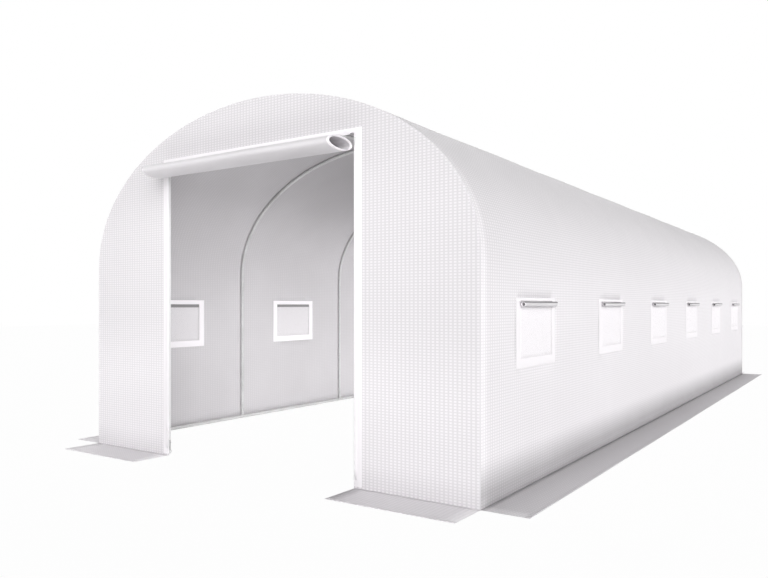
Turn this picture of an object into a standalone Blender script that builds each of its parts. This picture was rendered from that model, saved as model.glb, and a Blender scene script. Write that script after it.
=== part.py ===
"""A walk-in polytunnel: steel hoops under a white woven cover, with a roll-up door and six
mesh windows on each side.

Metres, +Z up. The origin is on the ground in the middle of the tunnel. X runs across it and
+Y along it, from the door end to the closed end. Every moving piece has its own origin on
the axis that it moves about or along.
"""

import math

import bmesh
import bpy
from mathutils import Matrix, Vector

OBJECT_NAME = "polytunnel"

# Overall sizes: the outside of the cover, without its ground skirts
LENGTH = 8.0
WIDTH = 3.0
WALL_HEIGHT = 1.225  # from the ground to where the arch springs
ARCH_RISE = 0.954  # half an ellipse on top of the walls
ARCH_STEPS = 32

# Cover sheets and the gap that pieces which touch keep between their surfaces
COVER_THICKNESS = 0.0015
CLEARANCE = 0.0003
SKIRT_WIDTH = 0.25
SKIRT_DOOR_MARGIN = 0.008  # from the doorway's side to the front skirts' inner ends

# Frame tubes
TUBE_RADIUS = 0.0125
TUBE_WALL = 0.0008
TUBE_SIDES = 12
BAYS = 6
SWAGE_STEP = 0.0025  # how much narrower than the tube a hoop's or post's foot is
SWAGE_LENGTH = 0.055
SOCKET_STEP = 0.0004  # how much narrower than the rail a socket is
SOCKET_HEIGHT = 0.075  # above the ground rail's centre
SOCKET_SPARE = 0.004  # the socket's bore is this much deeper than the foot
CLIP_WALL = 0.003
CLIP_WIDTH = 0.024
CLIP_GRIP = 0.010  # how far a clip's cheeks reach up a hoop's sides

# Foot plates under the ground rails
PLATE_SIZE = 0.060
PLATE_THICKNESS = 0.002
PLATE_BITE = 0.0006  # how deep the rail is welded into the plate
PLATE_HOOPS = (0, BAYS // 2, BAYS)  # the hoops that stand beside a plate
PEG_HOLE_RADIUS = 0.005

# Doorway and what closes it
DOOR_WIDTH = 1.498
DOOR_HEADROOM = 0.1715  # from the doorway's upper corners to the arch above them
POST_SETBACK = 0.0385  # from the doorway's side to the post
HEADER_SETBACK = 0.015  # from the doorway's top to the crossbar
POST_HEADROOM = 0.008  # from a post's top to the cover
BORDER_WIDTH = 0.052
BORDER_TOP_WIDTH = 0.026
BORDER_THICKNESS = 0.0012
BORDER_FOOT = 0.010
ZIP_TAPE_WIDTH = 0.020
ZIP_TAPE_THICKNESS = 0.0010
ZIP_TAPE_FOOT = 0.045  # clear of the front skirts when they are folded up
ZIP_TAPE_TOP_MARGIN = 0.020
ZIP_EDGE = 0.002  # from the doorway's side to the tape
SLIDER_WIDTH = 0.012
SLIDER_DEPTH = 0.005
SLIDER_HEIGHT = 0.020
SLIDER_CORNER = 0.001
SLIDER_TOP_MARGIN = 0.004
PULL_WIDTH = 0.006
PULL_DEPTH = 0.0018
PULL_LENGTH = 0.030
PULL_OVERLAP = 0.006
PULL_INSET = 0.0010

# The door sheet, rolled up in front of the doorway's top as a hollow oval roll
FLAP_END_MARGIN = 0.004  # from the doorway's side to the roll's end
FLAP_THICKNESS = 0.0012
DOOR_ROLL_DEPTH = 0.200
DOOR_ROLL_HEIGHT = 0.078
DOOR_ROLL_TURNS = 3.5
DOOR_ROLL_STEPS = 24  # to a turn
DOOR_ROLL_PITCH = 0.0024
DOOR_ROLL_GAP = 0.008  # from the front panel to the roll
DOOR_ROLL_DROP = 0.0346  # from the doorway's top to the roll's top
HEADER_SEW_HEIGHT = 0.018  # above the doorway's top
HEADER_OVERLAP = 0.010  # past the roll's crown
HEADER_STEPS = 8

# Windows: a mesh pane sewn between an outer and an inner border
WINDOWS_PER_SIDE = 6
WINDOW_WIDTH = 0.535
WINDOW_HEIGHT = 0.370
WINDOW_CENTRE_HEIGHT = 0.822
WINDOW_BORDER = 0.048
WINDOW_TOP_BORDER = 0.031
WINDOW_BORDER_THICKNESS = 0.0012
WINDOW_SEAM = 0.012  # how far the pane reaches under its border
WINDOW_BITE = 0.0006  # how deep pane and border are sewn into each other
WINDOW_ROLL_RADIUS = 0.0158
WINDOW_ROLL_THICKNESS = 0.0008
WINDOW_ROLL_TURNS = 2.0
WINDOW_ROLL_STEPS = 10
WINDOW_ROLL_PITCH = 0.0020
WINDOW_ROLL_OUT = 0.030  # from the wall to the roll's axis
WINDOW_ROLL_MARGIN = 0.030  # from the window's side to the roll's end
WINDOW_ROLL_DROP = 0.0365  # from the window's top edge to the roll's axis
WINDOW_TAIL_RISE = 0.022  # from the roll's axis up to the tail's sewn end
WINDOW_TAIL_STEPS = 4

# Worked out from the sizes above
HALF_LENGTH = LENGTH / 2
HALF_WIDTH = WIDTH / 2
HALF_DOOR = DOOR_WIDTH / 2
DOOR_HEIGHT = WALL_HEIGHT + ARCH_RISE * math.sqrt(1 - (HALF_DOOR / HALF_WIDTH) ** 2) - DOOR_HEADROOM
SWAGE_RADIUS = TUBE_RADIUS - SWAGE_STEP
SOCKET_RADIUS = TUBE_RADIUS - SOCKET_STEP
INNER_END = HALF_LENGTH - COVER_THICKNESS - CLEARANCE
HOOP_INSET = COVER_THICKNESS + CLEARANCE + TUBE_RADIUS
HOOP_END = INNER_END - TUBE_RADIUS
RAIL_X = HALF_WIDTH - HOOP_INSET
RAIL_Z = PLATE_THICKNESS - PLATE_BITE + TUBE_RADIUS
SOCKET_TOP = RAIL_Z + SOCKET_HEIGHT
POST_X = HALF_DOOR + POST_SETBACK + TUBE_RADIUS
POST_Y = HOOP_END - 2 * TUBE_RADIUS - CLEARANCE
HEADER_Z = DOOR_HEIGHT + HEADER_SETBACK + TUBE_RADIUS
BORDER_FACE = HALF_LENGTH + CLEARANCE + BORDER_THICKNESS
ZIP_FACE = BORDER_FACE + CLEARANCE + ZIP_TAPE_THICKNESS
DOOR_ROLL_Y = -(HALF_LENGTH + DOOR_ROLL_GAP + DOOR_ROLL_DEPTH / 2)
DOOR_ROLL_Z = DOOR_HEIGHT - DOOR_ROLL_DROP - DOOR_ROLL_HEIGHT / 2
FLAP_LENGTH = DOOR_WIDTH - 2 * FLAP_END_MARGIN
ZIP_X = HALF_DOOR + ZIP_EDGE + ZIP_TAPE_WIDTH / 2
SKIRT_INNER_END = HALF_DOOR + SKIRT_DOOR_MARGIN
WINDOW_FACE = HALF_WIDTH + CLEARANCE + WINDOW_BORDER_THICKNESS
WINDOW_ROLL_Z = WINDOW_CENTRE_HEIGHT + WINDOW_HEIGHT / 2 - WINDOW_ROLL_DROP
WINDOW_ROLL_LENGTH = WINDOW_WIDTH - 2 * WINDOW_ROLL_MARGIN

# How a flat outline drawn in X and Y stands up in the tunnel
FACING_ALONG = (math.pi / 2, 0, 0)  # its Y becomes +Z and its normal lies along Y
FACING_ACROSS = (math.pi / 2, 0, math.pi / 2)  # its X becomes +Y, its Y becomes +Z


def clear_scene():
    for obj in list(bpy.data.objects):
        bpy.data.objects.remove(obj, do_unlink=True)


def new_collection(name):
    collection = bpy.data.collections.new(name)
    bpy.context.scene.collection.children.link(collection)
    return collection


def principled(name, colour, roughness, metallic=0.0):
    material = bpy.data.materials.new(name)
    material.use_nodes = True
    shader = material.node_tree.nodes["Principled BSDF"]
    shader.inputs["Base Color"].default_value = (*colour, 1.0)
    shader.inputs["Roughness"].default_value = roughness
    shader.inputs["Metallic"].default_value = metallic
    material.diffuse_color = (*colour, 1.0)
    return material


def new_object(name, data, collection, location=(0, 0, 0), rotation=(0, 0, 0)):
    obj = bpy.data.objects.new(name, data)
    obj.location = location
    obj.rotation_euler = rotation
    collection.objects.link(obj)
    return obj


def box(name, size, collection, location, corner=0.0):
    """A box of this size about its own origin, with its edges rounded where corner is set."""
    mesh = bpy.data.meshes.new(name)
    bm = bmesh.new()
    bmesh.ops.create_cube(bm, size=1.0, matrix=Matrix.Diagonal((*size, 1.0)))
    bm.to_mesh(mesh)
    bm.free()
    obj = new_object(name, mesh, collection, location)
    if corner:
        bevel = obj.modifiers.new("rounded edges", "BEVEL")
        bevel.width = corner
        bevel.segments = 2
    return obj


def rod(name, start, end, radius, collection):
    """A round bar from start to end, with its origin at its middle."""
    start, end = Vector(start), Vector(end)
    mesh = bpy.data.meshes.new(name)
    bm = bmesh.new()
    bmesh.ops.create_cone(
        bm,
        cap_ends=True,
        segments=TUBE_SIDES,
        radius1=radius,
        radius2=radius,
        depth=(end - start).length,
    )
    bm.to_mesh(mesh)
    bm.free()
    mesh.shade_smooth()
    mesh.set_sharp_from_angle(angle=math.radians(40))
    turn = Vector((0, 0, 1)).rotation_difference(end - start).to_euler()
    return new_object(name, mesh, collection, (start + end) / 2, turn)


def hollow(obj):
    """Gives a bent tube's surface its wall, inwards."""
    wall = obj.modifiers.new("tube wall", "SOLIDIFY")
    wall.thickness = TUBE_WALL
    wall.offset = -1
    wall.use_even_offset = True
    return obj


def bent_tube(name, points, radii):
    """Curve data for the outer surface of a tube through the points, whose radius may change
    along it."""
    curve = bpy.data.curves.new(name, "CURVE")
    curve.dimensions = "3D"
    curve.bevel_depth = TUBE_RADIUS
    curve.bevel_resolution = 2
    spline = curve.splines.new("POLY")
    spline.points.add(len(points) - 1)
    for target, point, radius in zip(spline.points, points, radii):
        target.co = (*point, 1.0)
        target.radius = radius / TUBE_RADIUS
    return curve


def flat_outline(name, outlines, thickness):
    """Curve data for a plate of this thickness: the first outline, less any others inside it."""
    curve = bpy.data.curves.new(name, "CURVE")
    curve.dimensions = "2D"
    curve.fill_mode = "BOTH"
    curve.extrude = thickness / 2
    for outline in outlines:
        spline = curve.splines.new("POLY")
        spline.points.add(len(outline) - 1)
        spline.use_cyclic_u = True
        for target, (x, y) in zip(spline.points, outline):
            target.co = (x, y, 0.0, 1.0)
    return curve


def as_mesh(obj):
    """The object again as a closed mesh, at the same place, in place of the curve or modifiers."""
    graph = bpy.context.evaluated_depsgraph_get()
    mesh = bpy.data.meshes.new_from_object(obj.evaluated_get(graph))
    bm = bmesh.new()
    bm.from_mesh(mesh)
    bmesh.ops.remove_doubles(bm, verts=bm.verts, dist=1e-6)
    bmesh.ops.recalc_face_normals(bm, faces=bm.faces)
    bm.to_mesh(mesh)
    bm.free()
    name, matrix, collection = obj.name, obj.matrix_world.copy(), obj.users_collection[0]
    bpy.data.objects.remove(obj, do_unlink=True)
    made = new_object(name, mesh, collection)
    made.matrix_world = matrix
    return made


def combine(obj, others, operation):
    """The object joined with, or cut by, each of the others, which are then removed."""
    for other in others:
        step = obj.modifiers.new(operation.lower(), "BOOLEAN")
        step.operation = operation
        step.object = other
    bpy.context.view_layer.update()
    made = as_mesh(obj)
    for other in others:
        bpy.data.objects.remove(other, do_unlink=True)
    return made


def tube_bore(start, end, collection):
    """The round hole of a straight tube, past both of its ends."""
    start, end = Vector(start), Vector(end)
    past = (end - start).normalized() * TUBE_RADIUS
    return rod("tube bore", start - past, end + past, TUBE_RADIUS - TUBE_WALL, collection)


def finish(obj, name, material):
    obj.name = name
    obj.data.name = name
    obj.data.materials.clear()
    obj.data.materials.append(material)
    return obj


def across_flats(radius, sides):
    """The corner radius of a faceted hole whose flats lie a clearance outside this radius."""
    return (radius + CLEARANCE) / math.cos(math.pi / sides)


def arch_point(share, inset):
    """A point (x, z) of the arch, from the right springing at 0 to the left one at 1, moved
    inwards along the arch's normal."""
    angle = math.pi * share
    normal = Vector((math.cos(angle) / HALF_WIDTH, math.sin(angle) / ARCH_RISE)).normalized()
    on_arch = Vector((HALF_WIDTH * math.cos(angle), WALL_HEIGHT + ARCH_RISE * math.sin(angle)))
    return on_arch - inset * normal


def end_outline(inset, foot):
    """The tunnel's section (x, z), from the foot of the right wall over the arch to the left."""
    side = HALF_WIDTH - inset
    arch = [arch_point(step / ARCH_STEPS, inset) for step in range(ARCH_STEPS + 1)]
    return [Vector((side, foot))] + arch + [Vector((-side, foot))]


def arch_height(x, inset):
    """How high the inside of the arch is above this x."""
    share = math.acos(x / HALF_WIDTH) / math.pi
    normal_z = math.sin(math.pi * share) / ARCH_RISE
    normal_x = math.cos(math.pi * share) / HALF_WIDTH
    upright = normal_z / math.hypot(normal_x, normal_z)
    return WALL_HEIGHT + ARCH_RISE * math.sin(math.pi * share) - inset / upright


def ribbon(centreline, thickness):
    """The outline of a strip of this thickness along the centreline, as its two sides in turn."""
    left, right = [], []
    last = len(centreline) - 1
    for index, point in enumerate(centreline):
        along = (centreline[min(index + 1, last)] - centreline[max(index - 1, 0)]).normalized()
        normal = Vector((-along.y, along.x))
        left.append(point + normal * thickness / 2)
        right.append(point - normal * thickness / 2)
    return left + right[::-1]


def spiral(size, pitch, turns, steps, thickness):
    """The middle of a sheet wound inwards from the top of an oval, away from the wall."""
    points = []
    for step in range(round(turns * steps) + 1):
        turned = step / steps
        shrink = pitch * turned + thickness / 2
        angle = math.pi / 2 - 2 * math.pi * turned
        across = (size[0] / 2 - shrink) * math.cos(angle)
        points.append(Vector((across, (size[1] / 2 - shrink) * math.sin(angle))))
    return points


def least_turn_gap(points, steps, thickness):
    """The least gap between a turn and the next one, measured on the points of the spiral."""
    return min((a - b).length for a, b in zip(points, points[steps:])) - thickness


def bezier(corners, share):
    """The point at this share of the cubic curve with these four control points."""
    a, b, c, d = corners
    rest = 1 - share
    return a * rest**3 + 3 * b * rest**2 * share + 3 * c * rest * share**2 + d * share**3


def rectangle(width, height):
    x, y = width / 2, height / 2
    return [(-x, -y), (x, -y), (x, y), (-x, y)]


def bay_y(index):
    """Where hoop number index stands along the tunnel, counted from 0 at the door."""
    return HOOP_END * (2 * index / BAYS - 1)


def window_y(index):
    """The middle of window number index, counted from 0 at the door."""
    return LENGTH * ((index + 0.5) / WINDOWS_PER_SIDE - 0.5)


def make_hoops(parts, material):
    """Seven bent tubes, each with two narrowed feet that stand in the ground rails' sockets."""
    foot = SOCKET_TOP - SWAGE_LENGTH
    shoulder = SOCKET_TOP + CLEARANCE
    taper = TUBE_RADIUS - SWAGE_RADIUS
    levels = ((foot, SWAGE_RADIUS), (shoulder, SWAGE_RADIUS), (shoulder + taper, TUBE_RADIUS))
    shares = [step / ARCH_STEPS for step in range(ARCH_STEPS + 1)]
    arch = [(*arch_point(share, HOOP_INSET), TUBE_RADIUS) for share in shares]
    right = [(RAIL_X, z, radius) for z, radius in levels]
    left = [(-RAIL_X, z, radius) for z, radius in reversed(levels)]
    route = right + arch + left
    points = [(x, 0.0, z) for x, z, _ in route]
    curve = bent_tube("hoop", points, [radius for _, _, radius in route])
    curve.materials.append(material)
    for index in range(BAYS + 1):
        hollow(new_object(f"hoop_{index + 1}", curve, parts, (0, bay_y(index), 0)))


def clip_outline(sides, saddle):
    """A clip's section along the tunnel: a saddle with a cheek on each of these sides of the hoop."""
    inner = TUBE_RADIUS + CLEARANCE
    outer = inner + CLIP_WALL
    top = saddle + CLIP_WALL + CLEARANCE + CLIP_GRIP
    outline = []
    for side in sides:
        cheek = [(side * outer, 0), (side * outer, top), (side * inner, top), (side * inner, saddle)]
        outline += cheek[::side]
    if len(sides) == 1:
        outline += [(0, saddle), (0, 0)][:: sides[0]]
    return outline


def make_ridge_purlin(parts, material):
    """The tube under the hoops' crowns, with a clip at each hoop that grips the hoop's sides."""
    crown = WALL_HEIGHT + ARCH_RISE - HOOP_INSET
    centre = crown - 2 * TUBE_RADIUS - CLEARANCE
    front, back = (0, -INNER_END, centre), (0, INNER_END, centre)
    purlin = rod("ridge_purlin", front, back, TUBE_RADIUS, parts)
    saddle = TUBE_RADIUS - CLIP_WALL
    clips = []
    for index in range(BAYS + 1):
        sides = {0: (1,), BAYS: (-1,)}.get(index, (-1, 1))
        curve = flat_outline("clip", [clip_outline(sides, saddle)], CLIP_WIDTH)
        place = (0, bay_y(index), centre)
        clips.append(as_mesh(new_object(f"clip_{index + 1}", curve, parts, place, FACING_ACROSS)))
    purlin = combine(purlin, clips, "UNION")
    purlin = combine(purlin, [tube_bore(front, back, parts)], "DIFFERENCE")
    finish(purlin, "ridge_purlin", material)


def rail_with_sockets(name, start, end, sockets, plates, parts, material):
    """A ground rail with upright sockets and, at the plates, flat feet with a peg hole each.

    A socket is (x, y). A plate is (x, y, inwards), with inwards the way that its free part
    points from the rail."""
    rail = rod(name, start, end, TUBE_RADIUS, parts)
    added, bores = [], [tube_bore(start, end, parts)]
    bore_radius = across_flats(SWAGE_RADIUS, TUBE_SIDES)
    bore_floor = SOCKET_TOP - SWAGE_LENGTH - SOCKET_SPARE
    bore_top = SOCKET_TOP + TUBE_RADIUS
    for x, y in sockets:
        added.append(rod("socket", (x, y, RAIL_Z), (x, y, SOCKET_TOP), SOCKET_RADIUS, parts))
        bores.append(rod("bore", (x, y, bore_floor), (x, y, bore_top), bore_radius, parts))
    for x, y, inwards in plates:
        middle = x + inwards * (PLATE_SIZE / 2 - TUBE_RADIUS)
        size = (PLATE_SIZE, PLATE_SIZE, PLATE_THICKNESS)
        added.append(box("plate", size, parts, (middle, y, PLATE_THICKNESS / 2)))
        hole_x = x + inwards * (PLATE_SIZE / 2)
        below, above = (hole_x, y, -PLATE_SIZE), (hole_x, y, PLATE_SIZE)
        bores.append(rod("peg hole", below, above, PEG_HOLE_RADIUS, parts))
    rail = combine(rail, added, "UNION")
    return finish(combine(rail, bores, "DIFFERENCE"), name, material)


def make_ground_rails(parts, material):
    plate_limit = POST_Y - TUBE_RADIUS - CLEARANCE - PLATE_SIZE / 2
    plate_ys = [max(-plate_limit, min(plate_limit, bay_y(index))) for index in PLATE_HOOPS]
    butt = RAIL_X - TUBE_RADIUS - CLEARANCE
    post_end = POST_X - TUBE_RADIUS
    for side, word in ((-1, "left"), (1, "right")):
        x = side * RAIL_X
        rail_with_sockets(
            f"ground_rail_{word}",
            (x, -INNER_END, RAIL_Z),
            (x, INNER_END, RAIL_Z),
            [(x, bay_y(index)) for index in range(BAYS + 1)],
            [(x, y, -side) for y in plate_ys],
            parts,
            material,
        )
        rail_with_sockets(
            f"ground_rail_front_{word}",
            (side * post_end, -POST_Y, RAIL_Z),
            (side * butt, -POST_Y, RAIL_Z),
            [(side * POST_X, -POST_Y)],
            [],
            parts,
            material,
        )
    rail_with_sockets(
        "ground_rail_back",
        (-butt, POST_Y, RAIL_Z),
        (butt, POST_Y, RAIL_Z),
        [(-POST_X, POST_Y), (POST_X, POST_Y)],
        [],
        parts,
        material,
    )


def make_end_frames(parts, door_material, back_material):
    """At each end two posts bolted beside the end hoop, and a crossbar between them."""
    foot = SOCKET_TOP - SWAGE_LENGTH
    shoulder = SOCKET_TOP + CLEARANCE
    taper = TUBE_RADIUS - SWAGE_RADIUS
    top = arch_height(POST_X + TUBE_RADIUS, COVER_THICKNESS + POST_HEADROOM)
    heights = (foot, shoulder, shoulder + taper, top)
    radii = (SWAGE_RADIUS, SWAGE_RADIUS, TUBE_RADIUS, TUBE_RADIUS)
    bar_end = POST_X - TUBE_RADIUS - CLEARANCE
    for y, word, material in ((-POST_Y, "door", door_material), (POST_Y, "back", back_material)):
        curve = bent_tube(f"{word}_post", [(0.0, 0.0, z) for z in heights], radii)
        curve.materials.append(material)
        hollow(new_object(f"{word}_post_left", curve, parts, (-POST_X, y, 0)))
        hollow(new_object(f"{word}_post_right", curve, parts, (POST_X, y, 0)))
        left, right = (-bar_end, y, HEADER_Z), (bar_end, y, HEADER_Z)
        bar = rod("bar", left, right, TUBE_RADIUS, parts)
        bar = combine(bar, [tube_bore(left, right, parts)], "DIFFERENCE")
        finish(bar, f"{word}_crossbar", material)


def window_opening(lap):
    """Width, height and middle of a window's opening, made this much larger under its border."""
    width = WINDOW_WIDTH - 2 * (WINDOW_BORDER - lap)
    height = WINDOW_HEIGHT - WINDOW_BORDER - WINDOW_TOP_BORDER + 2 * lap
    return width, height, WINDOW_CENTRE_HEIGHT + (WINDOW_BORDER - WINDOW_TOP_BORDER) / 2


def make_main_cover(parts, cutters, material):
    """One sheet over both walls and the arch, with a hole for each window."""
    mesh = bpy.data.meshes.new("main_cover")
    bm = bmesh.new()
    first = [bm.verts.new((x, -INNER_END, z)) for x, z in end_outline(0.0, 0.0)]
    edges = [bm.edges.new(pair) for pair in zip(first, first[1:])]
    swept = bmesh.ops.extrude_edge_only(bm, edges=edges)["geom"]
    moved = [item for item in swept if isinstance(item, bmesh.types.BMVert)]
    bmesh.ops.translate(bm, verts=moved, vec=(0, 2 * INNER_END, 0))
    bm.faces.ensure_lookup_table()
    bm.normal_update()
    if bm.faces[ARCH_STEPS // 2 + 1].normal.z < 0:
        bmesh.ops.reverse_faces(bm, faces=bm.faces)
    bm.to_mesh(mesh)
    bm.free()
    cover = new_object("main_cover", mesh, parts)
    shell = cover.modifiers.new("sheet", "SOLIDIFY")
    shell.thickness = COVER_THICKNESS
    shell.offset = -1
    shell.use_even_offset = True
    holes = cover.modifiers.new("window holes", "BOOLEAN")
    holes.operation = "DIFFERENCE"
    holes.operand_type = "COLLECTION"
    holes.collection = cutters
    width, height, middle = window_opening(WINDOW_SEAM)
    size = (4 * TUBE_RADIUS, width, height)
    for side, word in ((-1, "left"), (1, "right")):
        for index in range(WINDOWS_PER_SIDE):
            place = (side * HALF_WIDTH, window_y(index), middle)
            cutter = box(f"window_hole_{word}_{index + 1}", size, cutters, place)
            cutter.hide_render = True
            cutter.display_type = "WIRE"
    finish(cover, "main_cover", material)


def make_end_panels(parts, material):
    """The front panel, with the doorway cut out of it, and the closed back panel."""
    outline = end_outline(0.0, 0.0)
    doorway = [(-HALF_DOOR, 0), (-HALF_DOOR, DOOR_HEIGHT), (HALF_DOOR, DOOR_HEIGHT), (HALF_DOOR, 0)]
    place = HALF_LENGTH - COVER_THICKNESS / 2
    for name, points, y in (("front_panel", outline + doorway, -place), ("back_panel", outline, place)):
        curve = flat_outline(name, [points], COVER_THICKNESS)
        finish(new_object(name, curve, parts, (0, y, 0), FACING_ALONG), name, material)


def skirt(name, seam, size, centre, parts, material):
    """A flat sheet on the ground whose origin is on its seam, the line that it folds about."""
    sheet = box(name, size, parts, (0, 0, 0))
    sheet.data.transform(Matrix.Translation(Vector(centre) - Vector(seam)))
    sheet.location = seam
    finish(sheet, name, material)


def make_skirts(parts, material):
    """The ground skirts, open at the corners. Each folds up about its seam, which is the upper
    edge of its inner side."""
    level = COVER_THICKNESS / 2
    fold = COVER_THICKNESS
    near = CLEARANCE
    far = SKIRT_WIDTH
    depth = far - near
    middle = (near + far) / 2
    for side, word in ((-1, "left"), (1, "right")):
        size = (depth, LENGTH, COVER_THICKNESS)
        seam = (side * (HALF_WIDTH + near), 0, fold)
        skirt(f"skirt_{word}", seam, size, (side * (HALF_WIDTH + middle), 0, level), parts, material)
        centre_x = side * (SKIRT_INNER_END + HALF_WIDTH) / 2
        size = (HALF_WIDTH - SKIRT_INNER_END, depth, COVER_THICKNESS)
        seam = (centre_x, -(HALF_LENGTH + near), fold)
        centre = (centre_x, -(HALF_LENGTH + middle), level)
        skirt(f"skirt_front_{word}", seam, size, centre, parts, material)
    size = (WIDTH, depth, COVER_THICKNESS)
    seam = (0, HALF_LENGTH + near, fold)
    skirt("skirt_back", seam, size, (0, HALF_LENGTH + middle, level), parts, material)


def make_door_border(parts, material):
    """The band sewn round the doorway on the outside of the front panel."""
    outer, top = HALF_DOOR + BORDER_WIDTH, DOOR_HEIGHT + BORDER_TOP_WIDTH
    outline = [(-outer, BORDER_FOOT), (-outer, top), (outer, top), (outer, BORDER_FOOT)]
    outline += [(HALF_DOOR, BORDER_FOOT), (HALF_DOOR, DOOR_HEIGHT)]
    outline += [(-HALF_DOOR, DOOR_HEIGHT), (-HALF_DOOR, BORDER_FOOT)]
    curve = flat_outline("door_border", [outline], BORDER_THICKNESS)
    place = (0, -(BORDER_FACE - BORDER_THICKNESS / 2), 0)
    border = new_object("door_border", curve, parts, place, FACING_ALONG)
    finish(border, "door_border", material)


def make_zips(parts, tape_material, slider_material):
    """A zip down each side of the doorway, with its slider at the top while the door is open."""
    tape_top = DOOR_HEIGHT - ZIP_TAPE_TOP_MARGIN
    tape_size = (ZIP_TAPE_WIDTH, ZIP_TAPE_THICKNESS, tape_top - ZIP_TAPE_FOOT)
    tape_y = -(ZIP_FACE - ZIP_TAPE_THICKNESS / 2)
    slider_size = (SLIDER_WIDTH, SLIDER_DEPTH, SLIDER_HEIGHT)
    pull_size = (PULL_WIDTH, PULL_DEPTH, PULL_LENGTH)
    slider_y = -(ZIP_FACE + CLEARANCE + SLIDER_DEPTH / 2)
    slider_z = tape_top - SLIDER_TOP_MARGIN - SLIDER_HEIGHT / 2
    pull_z = slider_z - SLIDER_HEIGHT / 2 - PULL_LENGTH / 2 + PULL_OVERLAP
    pull_y = slider_y - SLIDER_DEPTH / 2 + PULL_DEPTH / 2 + PULL_INSET
    for side, word in ((-1, "left"), (1, "right")):
        x = side * ZIP_X
        tape = box("tape", tape_size, parts, (x, tape_y, (tape_top + ZIP_TAPE_FOOT) / 2))
        finish(tape, f"zip_tape_{word}", tape_material)
        body = box("slider", slider_size, parts, (x, slider_y, slider_z), SLIDER_CORNER)
        pull = box("pull", pull_size, parts, (x, pull_y, pull_z))
        finish(combine(as_mesh(body), [pull], "UNION"), f"zip_slider_{word}", slider_material)


def make_door_flap(parts, material):
    """The rolled door sheet, and the short strip that it hangs from above the doorway."""
    middle = spiral(
        (DOOR_ROLL_DEPTH, DOOR_ROLL_HEIGHT),
        DOOR_ROLL_PITCH,
        DOOR_ROLL_TURNS,
        DOOR_ROLL_STEPS,
        FLAP_THICKNESS,
    )
    # the wall is on the roll's +Y side, so the sheet leaves the top towards -Y
    outline = [(-u, v) for u, v in ribbon(middle, FLAP_THICKNESS)]
    roll = flat_outline("door_flap_roll", [outline], FLAP_LENGTH)
    obj = new_object("door_flap_roll", roll, parts, (0, DOOR_ROLL_Y, DOOR_ROLL_Z), FACING_ACROSS)
    finish(obj, "door_flap_roll", material)
    gap = least_turn_gap(middle, DOOR_ROLL_STEPS, FLAP_THICKNESS)
    print(f"door roll: least gap between its turns {gap:.4f} m")

    half = FLAP_THICKNESS / 2
    sewn = Vector((-(BORDER_FACE + CLEARANCE + half), DOOR_HEIGHT + HEADER_SEW_HEIGHT))
    crown_z = DOOR_ROLL_Z + DOOR_ROLL_HEIGHT / 2 + CLEARANCE + half
    crown = Vector((DOOR_ROLL_Y - HEADER_OVERLAP, crown_z))
    below = Vector((sewn.x, DOOR_HEIGHT))
    before = Vector((DOOR_ROLL_Y + DOOR_ROLL_DEPTH / 4, crown_z))
    corners = (sewn, below, before, crown)
    centreline = [bezier(corners, step / HEADER_STEPS) for step in range(HEADER_STEPS + 1)]
    strip = flat_outline("door_flap_header", [ribbon(centreline, FLAP_THICKNESS)], FLAP_LENGTH)
    obj = new_object("door_flap_header", strip, parts, (0, 0, 0), FACING_ACROSS)
    finish(obj, "door_flap_header", material)


def make_windows(parts, material):
    """Each window: a mesh pane in the wall's hole, held between an outer and an inner border."""
    outer = rectangle(WINDOW_WIDTH, WINDOW_HEIGHT)
    width, height, middle = window_opening(0.0)
    rise = middle - WINDOW_CENTRE_HEIGHT
    inner = [(u, v + rise) for u, v in rectangle(width, height)]
    width, height, middle = window_opening(WINDOW_SEAM - CLEARANCE)
    pane_size = (COVER_THICKNESS + 2 * CLEARANCE + 2 * WINDOW_BITE, width, height)
    border_offset = COVER_THICKNESS / 2 + CLEARANCE + WINDOW_BORDER_THICKNESS / 2
    for side, word in ((-1, "left"), (1, "right")):
        wall_x = side * (HALF_WIDTH - COVER_THICKNESS / 2)
        for index in range(WINDOWS_PER_SIDE):
            y = window_y(index)
            pane = box("pane", pane_size, parts, (wall_x, y, middle))
            borders = []
            for offset in (-border_offset, border_offset):
                curve = flat_outline("border", [outer, inner], WINDOW_BORDER_THICKNESS)
                place = (wall_x + offset, y, WINDOW_CENTRE_HEIGHT)
                borders.append(as_mesh(new_object("border", curve, parts, place, FACING_ACROSS)))
            finish(combine(pane, borders, "UNION"), f"window_{word}_{index + 1}", material)


def make_window_rolls(parts, material):
    """Each window's flap, rolled up under the top border, with its tail sewn to the border."""
    size = 2 * WINDOW_ROLL_RADIUS
    wound = spiral(
        (size, size),
        WINDOW_ROLL_PITCH,
        WINDOW_ROLL_TURNS,
        WINDOW_ROLL_STEPS,
        WINDOW_ROLL_THICKNESS,
    )
    half = WINDOW_ROLL_THICKNESS / 2
    wall = WINDOW_FACE - HALF_WIDTH + CLEARANCE + half - WINDOW_ROLL_OUT
    sewn = Vector((wall, WINDOW_TAIL_RISE))
    top = wound[0]
    below = Vector((wall, top.y))
    before = Vector(((wall + top.x) / 2, top.y))
    corners = (sewn, below, before, top)
    tail = [bezier(corners, step / WINDOW_TAIL_STEPS) for step in range(WINDOW_TAIL_STEPS)]
    outline = ribbon(tail + wound, WINDOW_ROLL_THICKNESS)
    for side, word in ((-1, "left"), (1, "right")):
        turned = [(side * u, v) for u, v in outline]
        curve = flat_outline(f"window_roll_{word}", [turned], WINDOW_ROLL_LENGTH)
        curve.materials.append(material)
        for index in range(WINDOWS_PER_SIDE):
            place = (side * (HALF_WIDTH + WINDOW_ROLL_OUT), window_y(index), WINDOW_ROLL_Z)
            new_object(f"window_roll_{word}_{index + 1}", curve, parts, place, FACING_ALONG)
    gap = least_turn_gap(wound, WINDOW_ROLL_STEPS, WINDOW_ROLL_THICKNESS)
    print(f"window rolls: least gap between their turns {gap:.4f} m")


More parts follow.
